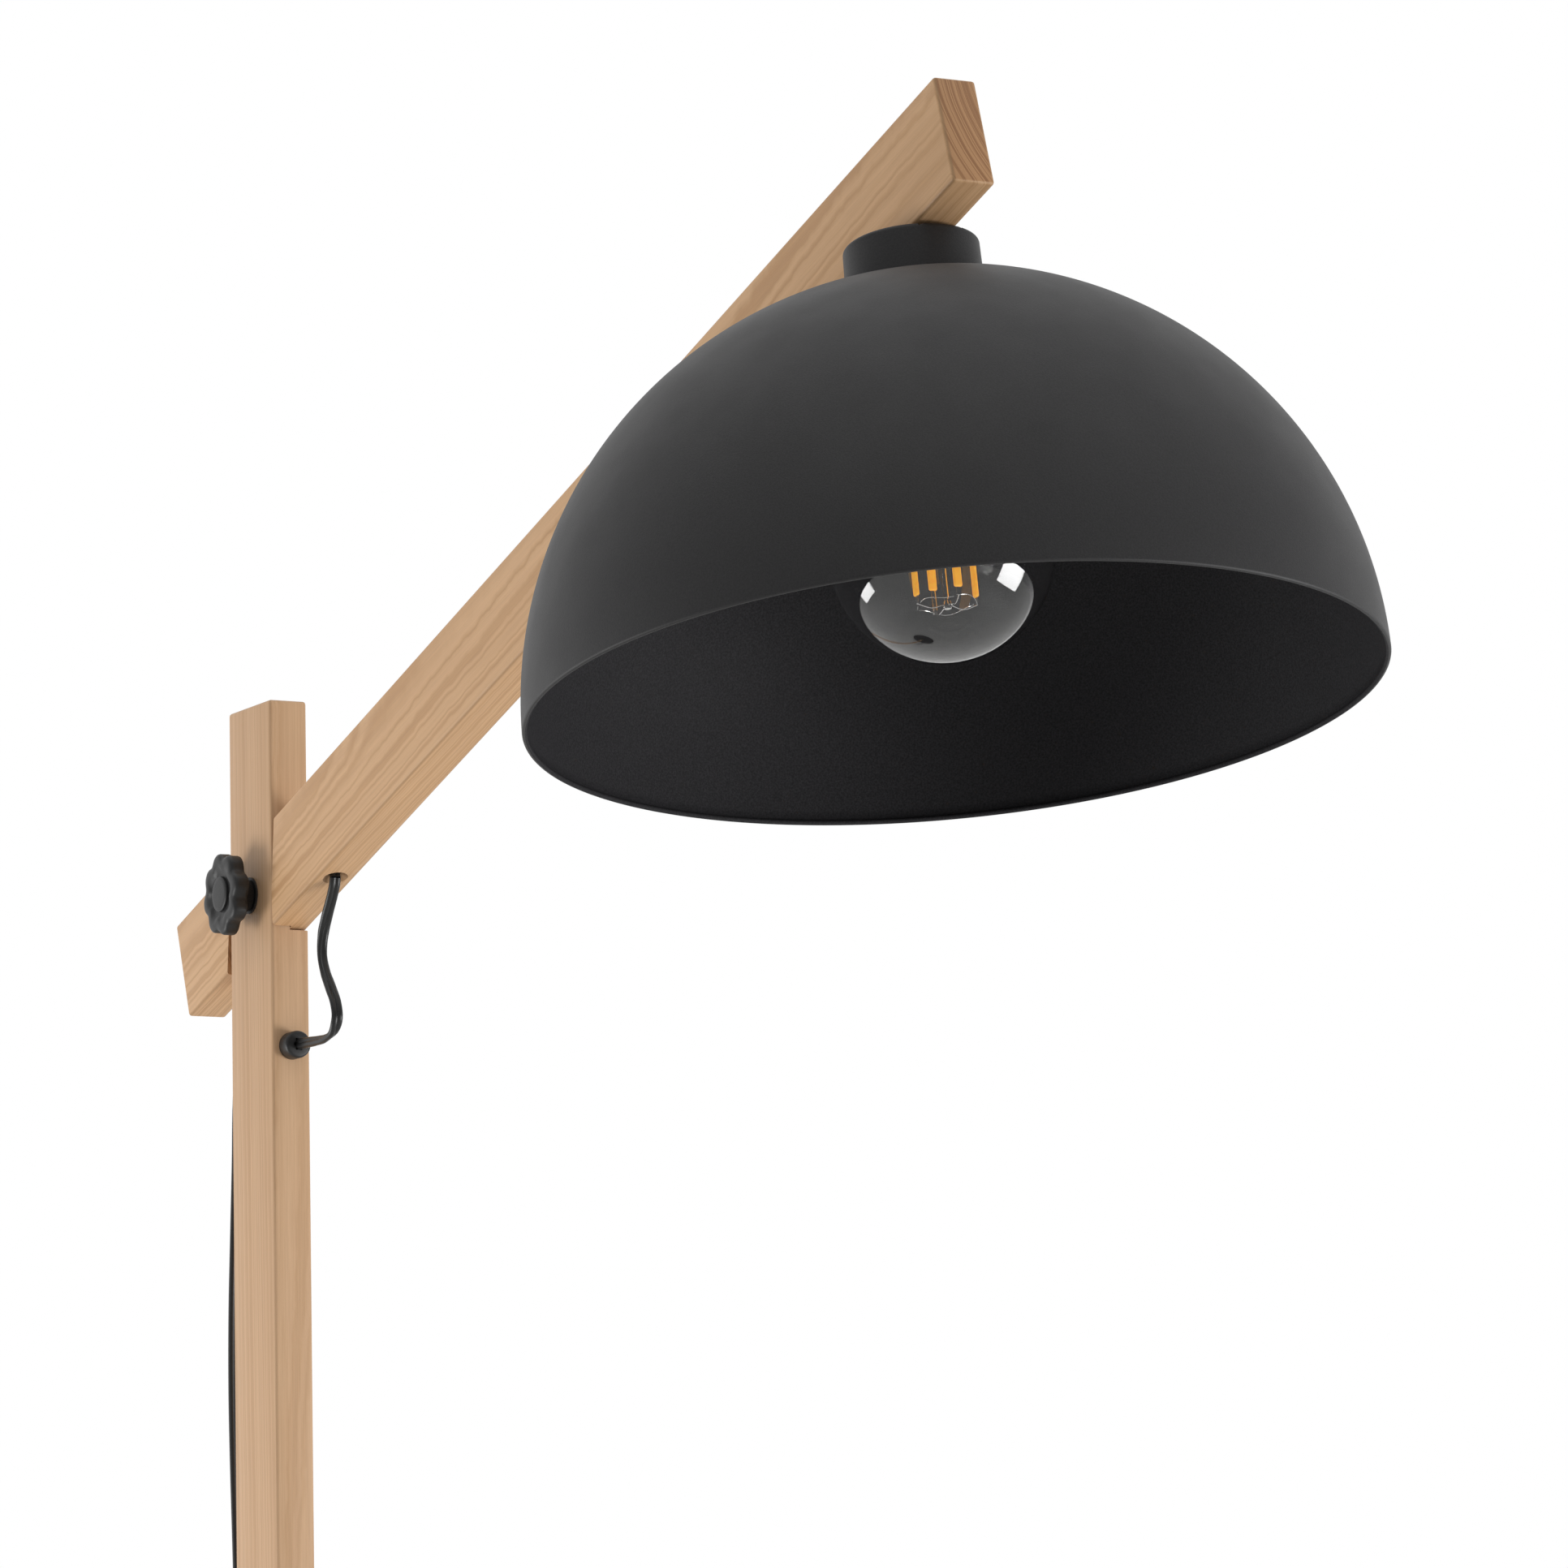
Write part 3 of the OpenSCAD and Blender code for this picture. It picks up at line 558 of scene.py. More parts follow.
def face_grain(finish, here, season, fibres, tint):
    """The colour of a board's long faces: rings of varying strength, fibres and streaks."""
    light, mid, dark = tint
    rings = finish.ramp(
        season, (0.0, mid), (0.18, light), (0.45, light), (0.80, dark), (0.90, dark), (1.0, mid)
    )
    strength = finish.noise(1.0, 1.0, finish.stretched((3, 22, 22), here))
    body = finish.blend(finish.span(strength, 0.35, 0.65, 0.45, 1.0), (*mid, 1), rings)
    fibre_tone = finish.ramp(fibres, (0.3, (0.86, 0.83, 0.80)), (0.62, (1.05, 1.05, 1.05)))
    body = finish.blend(0.55, body, fibre_tone, "MULTIPLY")
    streaks = finish.noise(1.0, 2.0, finish.stretched((7, 260, 260), here))
    streak_tone = finish.ramp(streaks, (0.35, (0.93, 0.90, 0.87)), (0.6, (1.03, 1.03, 1.02)))
    return finish.blend(0.5, body, streak_tone, "MULTIPLY")


def end_grain(finish, season, mid):
    """The colour of a sawn end, darker than the faces, with its rings in arcs."""
    early = (0.80, 0.72, 0.66)
    late = (0.52, 0.42, 0.36)
    rings = finish.ramp(season, (0.0, early), (0.45, early), (0.8, late), (1.0, (0.62, 0.53, 0.46)))
    return finish.blend(1.0, (*mid, 1), rings, "MULTIPLY")


def wood(name, board, pith, ring, tint, edge):
    """Clear-finished softwood, coloured by where a point lies in the log.

    board carries the board's length onto X, pith is the log's centre line across the board, ring a
    year's growth and edge how much the eased edges are darkened."""
    finish = Finish(name, 0.46, specular=0.35)
    laid = {"Vector": finish.place, "Rotation": board.to_euler(), "Location": board.to_translation()}
    here = finish.add("Mapping", laid).outputs["Vector"]
    season = finish.math("FRACT", ring_age(finish, here, pith, ring))
    fibres = finish.noise(1.0, 4.0, finish.stretched((28, 1500, 1500), here), 0.6)
    mid, dark = tint[1:]
    body = face_grain(finish, here, season, fibres, tint)
    normal = finish.add("TexCoord").outputs["Normal"]
    to_scene = board.to_3x3().inverted()
    lengthwise = finish.math("ABSOLUTE", finish.vector("DOT_PRODUCT", normal, to_scene @ Vector((1, 0, 0))))
    end = finish.span(lengthwise, 0.75, 0.97, 0.0, 1.0)
    body = finish.blend(end, body, end_grain(finish, season, mid))
    flat = finish.math("ABSOLUTE", finish.vector("DOT_PRODUCT", normal, to_scene @ Vector((0, 1, 0))))
    from_edge = finish.math("ABSOLUTE", finish.math("SUBTRACT", flat, 0.55))
    # the eased edges between the broad and narrow faces are drawn darker than the faces
    edge_darkening = finish.span(from_edge, 0.15, 0.42, edge, 0.0)
    finish.colour(finish.blend(edge_darkening, body, (*(0.72 * c for c in dark), 1)))
    finish.put(finish.shader.inputs["Roughness"], finish.span(fibres, 0.3, 0.7, 0.40, 0.56))
    finish.bump(fibres, 0.00012, 0.6)
    return finish.material


# frames that carry a board's own length onto X
arm_to_grain = arm_frame.inverted()
post_to_grain = Matrix.Rotation(QUARTER_TURN, 4, "Y")
# light, middle and dark wood
ARM_TINT = ((0.675, 0.422, 0.230), (0.63, 0.385, 0.203), (0.555, 0.323, 0.160))
POST_TINT = ((0.655, 0.423, 0.25), (0.63, 0.398, 0.23), (0.57, 0.35, 0.192))
arm_wood = wood("arm_wood", arm_to_grain, (0.085, 0.028), 0.0023, ARM_TINT, 0.55)
post_wood = wood("post_wood", post_to_grain, (0.050, 0.150), 0.0025, POST_TINT, 0.12)
powder_coat = speckled(
    "powder_coat", (0.0115, 0.011, 0.012), (0.020, 0.0195, 0.0205), 1500, 0.56, 0.03, 0.00008
)
# the inside of the shade is given a lighter colour than the outer coat: a painted reflection of the bright
# floor, on a matter surface
inner_coat_painted_light = speckled(
    "inner_coat_painted_light", (0.019, 0.0185, 0.020), (0.035, 0.034, 0.037), 1300, 0.72, 0.03, 0.0001, specular=0.12
)
black_plastic = speckled(
    "black_plastic", (0.011, 0.011, 0.0115), (0.016, 0.016, 0.016), 900, 0.45, 0.04, 0.00002
)
cord_jacket = speckled("cord_jacket", (0.009, 0.009, 0.009), (0.014, 0.014, 0.014), 600, 0.34, 0.04, 0.00001)
foot_rubber = speckled("foot_rubber", (0.03, 0.03, 0.03), (0.05, 0.05, 0.05), 700, 0.75, 0.05, 0.00005)
ceramic = speckled("ceramic", (0.74, 0.72, 0.66), (0.82, 0.80, 0.75), 400, 0.5, 0.08, 0.00003)
glassy_black = speckled("glassy_black", (0.008, 0.008, 0.02), (0.014, 0.014, 0.03), 300, 0.12, 0.04, 0.00001)
zinc = speckled("zinc", (0.50, 0.50, 0.49), (0.66, 0.66, 0.64), 500, 0.34, 0.08, 0.00002, metallic=1.0)
nickel = speckled("nickel", (0.70, 0.70, 0.68), (0.80, 0.79, 0.77), 300, 0.16, 0.05, 0.00001, metallic=1.0)
brass = speckled("brass", (0.72, 0.52, 0.24), (0.84, 0.64, 0.33), 350, 0.24, 0.06, 0.00001, metallic=1.0)


def clear_glass():
    """Plain clear glass; its values are the same all over."""
    finish = Finish("clear_glass", 0.0)
    finish.shader.inputs["Base Color"].default_value = (1, 1, 1, 1)
    finish.shader.inputs["IOR"].default_value = 1.52
    finish.shader.inputs["Transmission Weight"].default_value = 1.0
    return finish.material


def filament_coating():
    """Phosphor on the filaments: warm amber, with a painted glow although the lamp is off."""
    finish = Finish("filament_coating", 0.5)
    grain = finish.noise(700, 2.0)
    amber = finish.ramp(grain, (0.3, (0.93, 0.37, 0.004)), (0.7, (0.97, 0.45, 0.010)))
    finish.colour(amber)
    # the emission is a painted glow: the lamp is off, yet the filaments shine
    finish.put(finish.shader.inputs["Emission Color"], amber)
    finish.shader.inputs["Emission Strength"].default_value = 0.55
    finish.bump(grain, 0.00004)
    return finish.material


glass = clear_glass()
phosphor_with_painted_glow = filament_coating()


# ---- boards ----

def swept_prisms(first, second, y0, y1):
    """What a board sweeps between two angles, as cutters from y0 to y1 about the bolt."""
    half = BOARD_W / 2 + LAP_CLEAR
    reach = 0.085
    strip = [(-reach, -half), (reach, -half), (reach, half), (-reach, half)]
    lie_down = Matrix.Rotation(QUARTER_TURN, 4, "X")
    cutters = []
    for angle in (first, second):
        cutter = prism("cutter", strip, -y1, -y0)
        place(cutter, Matrix.Rotation(angle, 4, "Z"))
        cutters.append(place(cutter, lie_down))
    cutters.append(place(rod("cutter", half, -y1, -y0, 96), lie_down))
    return cutters


def rod_along(axis, radius, start, end, centre=(0, 0, 0), count=48):
    """A rod along X, Y or Z between two places on that axis."""
    piece = rod("cutter", radius, start, end, count)
    if axis == "X":
        place(piece, Matrix.Rotation(QUARTER_TURN, 4, "Y"))
    if axis == "Y":
        place(piece, Matrix.Rotation(-QUARTER_TURN, 4, "X"))
    return place(piece, Matrix.Translation(centre))


def make_post():
    """The upright board, with the pocket the arm turns in on its +Y side."""
    low = (-BOARD_W / 2, -BOARD_T / 2, POST_FOOT)
    high = (BOARD_W / 2, BOARD_T / 2, POST_TOP)
    piece = bevel(block("wood_post", low, high), BOARD_EDGE, 4)
    pockets = swept_prisms(ARM_RISE - ARM_DOWN, ARM_RISE + ARM_UP, -LAP_CLEAR / 2, BOARD_T)
    for cutter in pockets:
        place(cutter, pivot_frame)
    bolt_hole = rod_along("Y", BOLT_HOLE_R, -BOARD_T, BOARD_T, PIVOT)
    cord_hole = rod_along("X", CORD_HOLE_R, -BOARD_W, BOARD_W, (0, 0, GLAND_Z))
    cut(piece, *pockets, bolt_hole, cord_hole)
    return done(piece, post_wood, "wood", "stand", "post")


def make_arm():
    """The sloping board, lapped on its -Y side, with a groove along its top for the lead."""
    low = (-ARM_TAIL, -BOARD_T / 2, -BOARD_W / 2)
    high = (ARM_HEAD, BOARD_T / 2, BOARD_W / 2)
    piece = bevel(block("wood_arm", low, high), BOARD_EDGE, 4)
    upright = QUARTER_TURN - ARM_RISE
    pockets = swept_prisms(upright + ARM_DOWN, upright - ARM_UP, -BOARD_T, LAP_CLEAR / 2)
    tail_hole = rod("cutter", LEAD_HOLE_R, -BOARD_W, BOARD_W)
    sink_depth = -0.0222
    sink_profile = [
        (0, -0.026), (0.0065, -0.026), (0.0062, -0.025), (LEAD_HOLE_R, sink_depth), (0, sink_depth),
    ]
    sink = lathe("cutter", sink_profile, 48)
    for cutter in (tail_hole, sink):
        place(cutter, Matrix.Translation((LEAD_TAIL_AT, 0, 0)))
    head_hole = rod("cutter", LEAD_HOLE_R, -BOARD_W, BOARD_W)
    place(head_hole, Matrix.Translation((LEAD_HEAD_AT, 0, 0)))
    # the well is a hair narrower than the groove, so that their sides never coincide
    groove_half, well_half = 0.0032, 0.0031
    groove_floor, well_floor = 0.0209, 0.011
    groove = block("cutter", (0.0715, -groove_half, groove_floor), (0.640, groove_half, BOARD_W))
    well = block("cutter", (0.0714, -well_half, well_floor), (0.0935, well_half, BOARD_W))
    bolt_hole = rod_along("Y", BOLT_HOLE_R, -BOARD_T, BOARD_T)
    cut(piece, *pockets, bolt_hole, tail_hole, sink, head_hole, groove, well)
    place(piece, arm_frame)
    return done(piece, arm_wood, "wood", "arm", "arm")


make_post()
make_arm()


# ---- shade, canopy and bulb ----

def make_shade():
    """The spun dome: two skins a wall apart, with a rolled bead round the mouth."""
    bead = 0.0011
    inner = SHADE_R - SHADE_WALL
    hole = 0.00505
    outer_skin = arc((0, 0), SHADE_R, 90 - math.degrees(math.asin(hole / SHADE_R)), 0.4, 72)
    lip = arc((SHADE_R - bead, bead), bead, -5, -240, 10)
    inner_skin = arc((0, 0), inner, 0.9, 90 - math.degrees(math.asin(hole / inner)), 72)
    piece = lathe("dome_shade", outer_skin + lip + inner_skin, 256)
    done(piece, powder_coat, "black_powder_coat", "shade_head", "shade", angle=50)
    piece.data.materials.append(inner_coat_painted_light)
    # the inner skin takes the lighter inner coat, which carries the painted reflection of the floor
    for polygon in piece.data.polygons:
        middle = polygon.center
        if middle.length < SHADE_R - SHADE_WALL / 2 and polygon.normal.dot(middle) < 0:
            polygon.material_index = 1
    place(piece, shade_frame @ Matrix.Translation((0, 0, -RIM_DROP)))


def make_canopy():
    """The cup over the tilt joint, slotted for the arm."""
    top = 0.010
    edge = 0.002
    foot = 0.0294
    shoulder = 0.0289
    wall = 0.0022
    profile = [(0, top), (0.012, top)]
    profile += arc((shoulder - edge, top - edge), edge, 90, 0, 8)
    profile += [(foot, -0.0124), (foot - wall, -0.0121), (shoulder - wall, top - 0.002)]
    profile += [(0, top - 0.002)]
    piece = lathe("canopy_cup", profile, 144)
    # the two slots differ by a hair, so that their sides never coincide
    low_half = BOARD_T / 2 + 0.0007
    high_half = low_half - 0.00001
    above = 0.02
    low_slot = block("cutter", (-0.031, -low_half, -0.0053), (-0.016, low_half, above))
    high_slot = block("cutter", (-0.020, -high_half, 0.002), (0.0268, high_half, above))
    cut(piece, low_slot, high_slot)
    place(piece, shade_frame)
    return done(piece, powder_coat, "black_powder_coat", "shade_head", "canopy", angle=40)


def globe_profile(inset):
    """The globe, its flare and its neck, from the bottom up, moved in by inset."""
    neck = 0.0132
    neck_top = -0.0575
    flare_top = -0.064
    flare_steps = 14
    meet = 0.038
    meet_radius = math.sqrt(BULB_R ** 2 - meet ** 2)
    start = -BULB_DROP + meet
    globe = arc((0, -BULB_DROP), BULB_R - inset, -90, math.degrees(math.asin(meet / BULB_R)), 64)
    span = flare_top - start
    flare = []
    for i in range(1, flare_steps + 1):
        u = i / flare_steps
        radius = (
            meet_radius * (2 * u ** 3 - 3 * u ** 2 + 1)
            + neck * (3 * u ** 2 - 2 * u ** 3)
            - meet / meet_radius * span * (u ** 3 - 2 * u ** 2 + u)
        )
        flare.append((radius - inset, start + u * span))
    return [(0, globe[0][1])] + globe[1:] + flare + [(neck - inset, neck_top)]


def make_bulb():
    """The globe as a closed shell of glass."""
    wall = 0.0008
    outer = globe_profile(0)
    inner = globe_profile(wall)
    piece = lathe("globe_glass", outer + inner[::-1], 160)
    place(piece, shade_frame)
    done(piece, glass, "clear_glass", "shade_head", "bulb_glass", angle=60)


FILAMENT_RING = 0.0133
FILAMENT_TURN = 83
FILAMENT_END = -BULB_DROP - 0.020
FILAMENT_LENGTH = 0.038
FILAMENT_ANGLES = [math.radians(FILAMENT_TURN + quarter) for quarter in (0, 90, 180, 270)]
# one filament is set higher than the others
FILAMENT_RISE = [0, 0.007, 0, 0]
WIRE_LEVEL = FILAMENT_END - 0.0034


def make_stick(foot):
    """One coated filament, flat and round-edged."""
    thick, wide = 0.0009, 0.0018
    stick = block("stick", (-thick, -wide, foot), (thick, wide, foot + FILAMENT_LENGTH))
    return bevel(stick, 0.0008, 4)


def make_tab(foot):
    """The thin metal strip between a filament's foot and the wires."""
    thick, wide = 0.0002, 0.0011
    tab = block("tab", (-thick, -wide, FILAMENT_END - 0.0035), (thick, wide, foot + 0.0002))
    return bevel(tab, 0.00015, 2)


def make_spoke():
    """The wire from the hub to one filament's tab, sagging in the middle."""
    hub_end = (-FILAMENT_RING + 0.0012, 0, WIRE_LEVEL)
    sag = (-FILAMENT_RING * 0.45, 0.0006, FILAMENT_END - 0.0052)
    tab_end = (0, 0, WIRE_LEVEL)
    path, _ = smooth_line([hub_end, sag, tab_end], 0.0012)
    return tube_along("wire", path, 0.00022)


def make_ring_wire(angle):
    """The wavy wire that runs from one filament round to the next."""
    radius = FILAMENT_RING * 0.93
    wave = 0.0008
    path = []
    for step in range(4, 88, 7):
        turn = angle + math.radians(step)
        height = WIRE_LEVEL + wave * math.sin(math.radians(4 * step))
        path.append((radius * math.cos(turn), radius * math.sin(turn), height))
    return tube_along("wire", path, 0.00013, 8)


def make_filaments():
    """Four coated sticks stand round the glass stem, held by thin wires."""
    sticks, wires = [], []
    for angle, rise in zip(FILAMENT_ANGLES, FILAMENT_RISE):
        outward = Matrix.Rotation(angle, 4, "Z") @ Matrix.Translation((FILAMENT_RING, 0, 0))
        foot = FILAMENT_END + rise
        sticks.append(place(make_stick(foot), outward))
        wires.append(place(make_tab(foot), outward))
        wires.append(place(make_spoke(), outward))
        wires.append(make_ring_wire(angle))
    bead_profile = [(0, -0.0022), (0.0016, -0.0018), (0.0021, 0), (0.0016, 0.0016), (0, 0.002)]
    bead = lathe("hub", bead_profile, 24)
    wires.append(place(bead, Matrix.Translation((0, 0, FILAMENT_END - 0.0036))))
    sticks = place(join("filament_sticks", sticks), shade_frame)
    wires = place(join("support_wires", wires), shade_frame)
    done(sticks, phosphor_with_painted_glow, "filament_coating", "shade_head", "filaments")
    done(wires, nickel, "plated_steel", "shade_head", "filament_wires")


def make_stem():
    """The glass mount: a flare sealed into the neck, a pinched press and a thin rod."""
    profile = [
        (0, FILAMENT_END - 0.0016), (0.0011, FILAMENT_END - 0.0013), (0.0015, FILAMENT_END),
        (0.0015, -0.100), (0.0030, -0.097), (0.0036, -0.093), (0.0034, -0.080),
        (0.0040, -0.074), (0.0062, -0.068), (0.0095, -0.062), (0.0123, -0.0586),
        (0.0113, -0.0582), (0.0080, -0.062), (0.0048, -0.068), (0.0024, -0.076), (0, -0.079),
    ]
    piece = place(lathe("glass_stem", profile, 64), shade_frame)
    done(piece, glass, "clear_glass", "shade_head", "bulb_stem", angle=70)


make_shade()
make_canopy()
make_bulb()
make_filaments()
make_stem()


# ---- clamp knob ----

KNOB_LOBES = 8
KNOB_LOBE_TURN = math.radians(11)
knob_face_frame = Matrix.Translation((0, -BOARD_T / 2, 0)) @ knob_frame


def knob_ring(base, lobe, out, count):
    """One lobed ring of the knob; the valleys between lobes are narrower than the lobes."""
    ring = []
    for i in range(count):
        a = 2 * math.pi * i / count
        valley = (0.5 - 0.5 * math.cos(KNOB_LOBES * (a - KNOB_LOBE_TURN))) ** 1.5
        radius = (base + lobe * (1 - 2 * valley)) * MM
        ring.append((radius * math.cos(a), radius * math.sin(a), out * MM))
    return ring


def make_knob():
    """The knob and its round cap; each ring is (radius, lobe height, distance out of the post) in mm."""
    rings = [
        (0, 0, 15.6), (8.9, 0, 15.6), (10.2, 0.05, 15.65), (11.6, 0.5, 16.1), (12.9, 0.9, 16.75),
        (14.2, 1.1, 17.0), (16.9, 1.2, 16.95), (18.2, 1.25, 16.6), (19.0, 1.3, 16.0), (19.3, 1.3, 15.1),
        (19.35, 1.3, 11.0), (19.1, 1.3, 9.9), (18.3, 1.25, 9.35), (9.6, 0, 9.3), (8.4, 0, 8.9),
        (8.0, 0, 8.2), (8.0, 0, 1.9), (7.5, 0, 1.3), (6.05, 0, 1.3), (6.05, 0, 14.2), (0, 0, 14.2),
    ]
    count = 192
    points, index, faces = [], [], []
    for base, lobe, out in rings:
        ring = [(0, 0, out * MM)] if base == 0 else knob_ring(base, lobe, out, count)
        index.append(list(range(len(points), len(points) + len(ring))))
        points += ring
    for near, far in zip(index, index[1:]):
        for i in range(count):
            j = (i + 1) % count
            corners = (near[i % len(near)], near[j % len(near)], far[j % len(far)], far[i % len(far)])
            corners = list(dict.fromkeys(corners))
            faces.append(tuple(reversed(corners)))
    piece = place(mesh_piece("clamp_knob", points, faces), knob_face_frame)
    done(piece, black_plastic, "black_plastic", "knob", "knob", angle=40)
    disc = [(0, 17.2), (6.5, 17.2), (8.0, 17.1), (8.6, 16.8), (8.75, 16.3), (8.75, 15.6), (0, 15.6)]
    cap = lathe("knob_disc", [(r * MM, z * MM) for r, z in disc], 96)
    done(place(cap, knob_face_frame), black_plastic, "black_plastic", "knob", "knob_cap", angle=40)


make_knob()


# ---- glands ----

GLAND_SLEEVE_R = 0.0049
GLAND_DEPTH = 0.013


def make_gland():
    """The bush that grips the cord where it goes into the front of the post."""
    out = 0.0093
    profile = [
        (0, -GLAND_DEPTH), (GLAND_SLEEVE_R, -GLAND_DEPTH), (GLAND_SLEEVE_R, 0.0002), (0.0066, 0.0002),
        (0.00675, 0.0006), (0.00675, out - 0.0018), (0.0066, out - 0.0009), (0.0061, out - 0.0002),
        (0.0054, out), (0, out),
    ]
    piece = lathe("front_cord_gland", profile, 72)
    gap = 0.00005
    past = 0.02
    half_w, half_t = CORD_W / 2 + gap, CORD_T / 2 + gap
    cut(piece, block("cutter", (-half_w, -half_t, -past), (half_w, half_t, past)))
    place(piece, Matrix.Translation((BOARD_W / 2, 0, GLAND_Z)) @ Matrix.Rotation(QUARTER_TURN, 4, "Y"))
    done(piece, black_plastic, "black_plastic", "stand", "front_gland", angle=40)


def make_grommet():
    """The low ring round the hole behind the post, where the cord comes out."""
    bore = 0.003
    profile = [
        (bore, -GLAND_DEPTH), (GLAND_SLEEVE_R, -GLAND_DEPTH), (GLAND_SLEEVE_R, 0.0), (0.0068, 0.0),
        (0.0070, 0.0003),
        (0.0068, 0.0009), (0.0058, 0.0012), (bore + 0.0004, 0.0012), (bore, 0.0008),
    ]
    piece = lathe("rear_cord_grommet", profile, 72)
    place(piece, Matrix.Translation((-BOARD_W / 2, 0, GLAND_Z)) @ Matrix.Rotation(-QUARTER_TURN, 4, "Y"))
    done(piece, black_plastic, "black_plastic", "stand", "rear_grommet", angle=40)


make_gland()
make_grommet()


# ---- cords in place ----

def make_power_cord():
    """From the grommet behind the post, down its back and over the base to the foot switch."""
    line, places = smooth_line(POWER_ROUTE, 0.006)
    sides = turned_sides(places, [(0, ALONG_Y), (len(POWER_ROUTE) - 1, ALONG_Y)])
    piece = flat_cord("power_cord_run", line, sides)
    done(piece, cord_jacket, "cord_jacket", "stand", "power_cord", angle=50)


def make_jumper():
    """The loose stretch between the arm and the gland, drawn as it lies at rest."""
    grip = 0.003
    route = JUMPER_ROUTE + [(JUMPER_ROUTE[-1][0] - grip, 0, GLAND_Z)]
    line, places = smooth_line(route, 0.0015)
    turns = [
        (0, (0.1, 1, 0)), (2, (0.1, 1, 0)), (5.5, (1, 0.25, 0)), (8.5, (0.45, 0.9, 0)),
        (10.5, (0.1, 0.8, 0.6)), (len(route) - 1, UPRIGHT),
    ]
    piece = flat_cord("jumper_run", line, turned_sides(places, turns))
    smooth(piece, 50)
    piece.data.materials.append(cord_jacket)
    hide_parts("jumper_cord")
    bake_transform(piece)


def make_arm_lead():
    """Up from the canopy, over a low loop, along the groove and down through the hole by the post."""
    line, places = smooth_line([arm_frame @ Vector(p) for p in ARM_ROUTE], 0.003)
    sides = turned_sides(places, [(0, ALONG_Y), (len(ARM_ROUTE) - 1, ALONG_Y)])
    piece = flat_cord("arm_lead_run", line, sides)
    done(piece, cord_jacket, "cord_jacket", "arm", "arm_lead", angle=50)


def make_shade_lead():
    """The short lead that crosses the tilt joint inside the canopy."""
    local_route = [(-0.0104, 0, 0.0048), (-0.0102, 0, -0.004), (-0.010, 0, -0.020)]
    route = [shade_frame @ Vector(p) for p in local_route]
    line, places = smooth_line(route, 0.0015)
    piece = flat_cord("canopy_lead", line, turned_sides(places, [(0, ALONG_Y), (2, ALONG_Y)]))
    smooth(piece, 50)
    piece.data.materials.append(cord_jacket)
    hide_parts("shade_lead")
    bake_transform(piece)


def coil_line():
    """Winds in on the lower layer, climbs, and winds out on the upper one, clockwise."""
    tail_end = Vector(TAIL_ROUTE[-1]) - Vector((*COIL_CENTRE, 0))
    plug_start = Vector(PLUG_ROUTE[0]) - Vector((*COIL_CENTRE, 0))
    start = math.degrees(math.atan2(tail_end.y, tail_end.x)) % 360
    end = math.degrees(math.atan2(plug_start.y, plug_start.x))
    turns = 6
    total = turns * 360 + start - end
    low, high = TAIL_ROUTE[-1][2], PLUG_ROUTE[0][2]
    wound = (COIL_OUT - COIL_IN) / COIL_PITCH * 360
    climb = total - 2 * wound
    # the ends of the winding meet the straight runs over this many degrees
    merge = 50
    step = 7
    points = []
    count = round(total / step)
    for i in range(1, count):
        swept = total * i / count
        if swept < wound:
            radius = COIL_OUT - COIL_PITCH * swept / 360
        elif swept < wound + climb:
            radius = COIL_IN
        else:
            radius = COIL_IN + COIL_PITCH * (swept - wound - climb) / 360
        entering = max(0.0, 1 - swept / merge)
        leaving = max(0.0, 1 - (total - swept) / merge)
        radius += (tail_end.xy.length - COIL_OUT) * entering ** 2
        radius += (plug_start.xy.length - COIL_OUT) * leaving ** 2
        climbed = min(1.0, max(0.0, (swept - wound) / climb))
        height = low + (high - low) * ease(climbed)
        angle = math.radians(start - swept)
        x = COIL_CENTRE[0] + radius * math.cos(angle)
        y = COIL_CENTRE[1] + radius * math.sin(angle)
        points.append((x, y, height))
    return points


def make_plug_cord():
    """From the foot switch into the coil, and out of it to the plug."""
    coil = coil_line()
    route = TAIL_ROUTE + coil + PLUG_ROUTE
    line, places = smooth_line(route, 0.003)
    enter = len(TAIL_ROUTE) - 2
    leave = len(TAIL_ROUTE) + len(coil) + 1
    turns = [(0, ALONG_Y), (1, ALONG_Y), (enter, UPRIGHT), (leave, UPRIGHT), (len(route) - 1, (0, 1, 0.001))]
    piece = flat_cord("plug_cord_run", line, turned_sides(places, turns))
    done(piece, cord_jacket, "cord_jacket", "stand", "switch_tail", "cord_coil", "plug_lead", angle=50)


make_power_cord()
make_jumper()
make_arm_lead()
make_shade_lead()
make_plug_cord()


# ---- foot switch spring ----

SPRING_WIRE_R = 0.0005
SPRING_TURNS = 4


def make_switch_spring():
    """The coil spring under the foot button, drawn at rest."""
    low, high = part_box("switch_spring")
    centre = (low + high) / 2
    radius = (high.x - low.x) / 2 - SPRING_WIRE_R
    foot = low.z + SPRING_WIRE_R
    rise = high.z - low.z - 2 * SPRING_WIRE_R
    steps = 24 * SPRING_TURNS
    route = []
    for i in range(steps + 1):
        turn = math.tau * SPRING_TURNS * i / steps
        x = centre.x + radius * math.cos(turn)
        y = centre.y + radius * math.sin(turn)
        route.append((x, y, foot + rise * i / steps))
    piece = tube_along("switch_coil_spring", route, SPRING_WIRE_R)
    done(piece, zinc, "plated_steel", "stand", "switch_spring")
    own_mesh(piece)


make_switch_spring()


# ---- CAD pieces that keep their shape ----

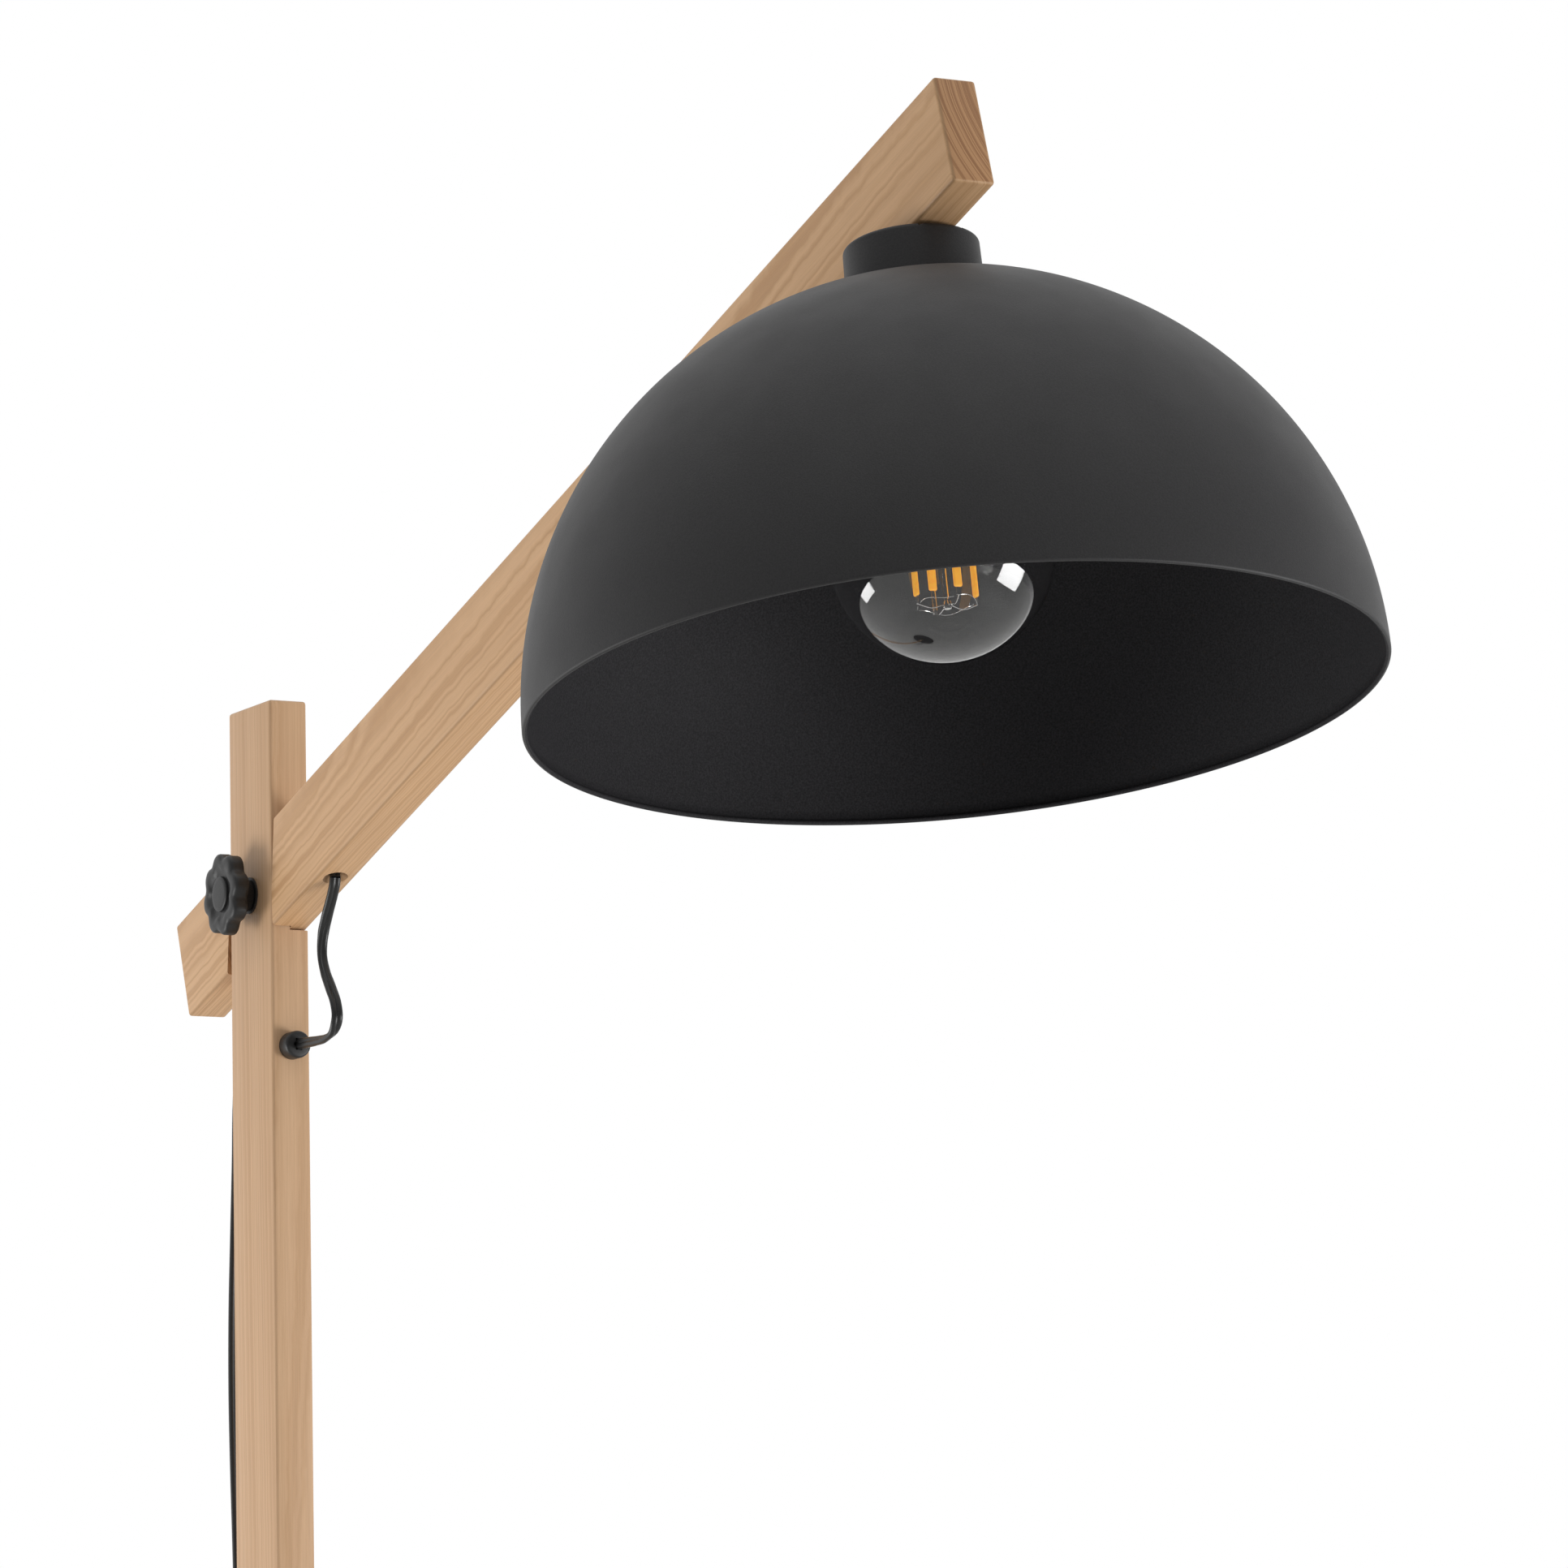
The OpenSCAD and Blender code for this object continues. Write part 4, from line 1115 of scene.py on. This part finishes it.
# each material, and the CAD nodes that take it
KEPT = [
    (powder_coat, ["base_plate", "post_socket", "pivot_bolt", "socket_screws"]),
    (black_plastic, ["holder_cap", "holder_body", "knob_washer"]),
    (black_plastic, ["switch_base", "switch_cover", "switch_button", "switch_reliefs"]),
    (black_plastic, ["plug_relief", "plug_body", "cord_tie"]),
    (cord_jacket, ["post_lead"]),
    (foot_rubber, ["base_feet"]),
    (zinc, ["socket_bolts", "bolt_washer", "tilt_bracket", "bracket_screws", "tilt_pin", "tilt_fork"]),
    (zinc, ["threaded_tube", "shade_washer", "lock_nut"]),
    (brass, ["knob_insert", "holder_contact", "screw_shell"]),
    (nickel, ["bulb_cap", "bulb_tip", "plug_pins"]),
    (ceramic, ["holder_core"]),
    (glassy_black, ["bulb_insulator"]),
]
for material, names in KEPT:
    for name in names:
        nodes[name].data.materials.clear()
        nodes[name].data.materials.append(material)


# ---- floor and light ----

# brightness of the room on the camera's side, and of the ceiling
ROOM = 0.38
CEILING = 1.0
BACKDROP_SIDE = (-0.873, 0.464, 0.148)
SOFTBOX_SPREAD = math.radians(100)
FLOOR_R = 4.0


def add_floor():
    """A plain pale floor, a fifth of a millimetre under the feet."""
    finish = Finish("pale_floor", 0.55)
    tone = finish.noise(3.0, 3.0)
    finish.colour(finish.ramp(tone, (0.3, (0.70, 0.70, 0.69)), (0.7, (0.75, 0.75, 0.74))))
    floor = prism("floor", circle(FLOOR_R, 128), -0.02, -0.0002)
    floor.data.materials.append(finish.material)


def area_light(name, place_at, look_at, width, height, power):
    """A softbox with a grid over it, which keeps its light off the floor around it."""
    data = bpy.data.lights.new(name, "AREA")
    data.shape = "RECTANGLE"
    data.size = width
    data.size_y = height
    data.energy = power
    data.spread = SOFTBOX_SPREAD
    lamp = bpy.data.objects.new(name, data)
    scene.collection.objects.link(lamp)
    lamp.location = place_at
    lamp.rotation_euler = (Vector(look_at) - Vector(place_at)).to_track_quat("-Z", "Y").to_euler()


def add_world():
    """A white backdrop behind the lamp and a white ceiling; the room on the camera's side is dimmer."""
    world = bpy.data.worlds.new("studio")
    world.use_nodes = True
    scene.world = world
    sky = Nodes(world.node_tree)
    toward = sky.add("TexCoord").outputs["Generated"]
    backdrop = sky.vector("DOT_PRODUCT", toward, BACKDROP_SIDE)
    behind = sky.span(backdrop, 0.1, 0.85, ROOM, 1.0, interpolation_type="SMOOTHSTEP")
    height = sky.add("SeparateXYZ", {0: toward}).outputs["Z"]
    above = sky.span(height, 0.3, 0.9, 0.0, CEILING, interpolation_type="SMOOTHSTEP")
    strength = sky.math("MAXIMUM", behind, above)
    background = sky.add("Background", {"Color": (1, 1, 1, 1), "Strength": strength})
    sky.add("OutputWorld", {"Surface": background.outputs["Background"]})


add_floor()
add_world()
area_light("left_softbox", (-0.80, -1.70, 0.55), (0.3, 0, 1.05), 0.9, 0.9, 6.0)
area_light("right_softbox", (1.95, 1.75, 0.55), (0.4, 0, 1.1), 1.2, 0.9, 11)
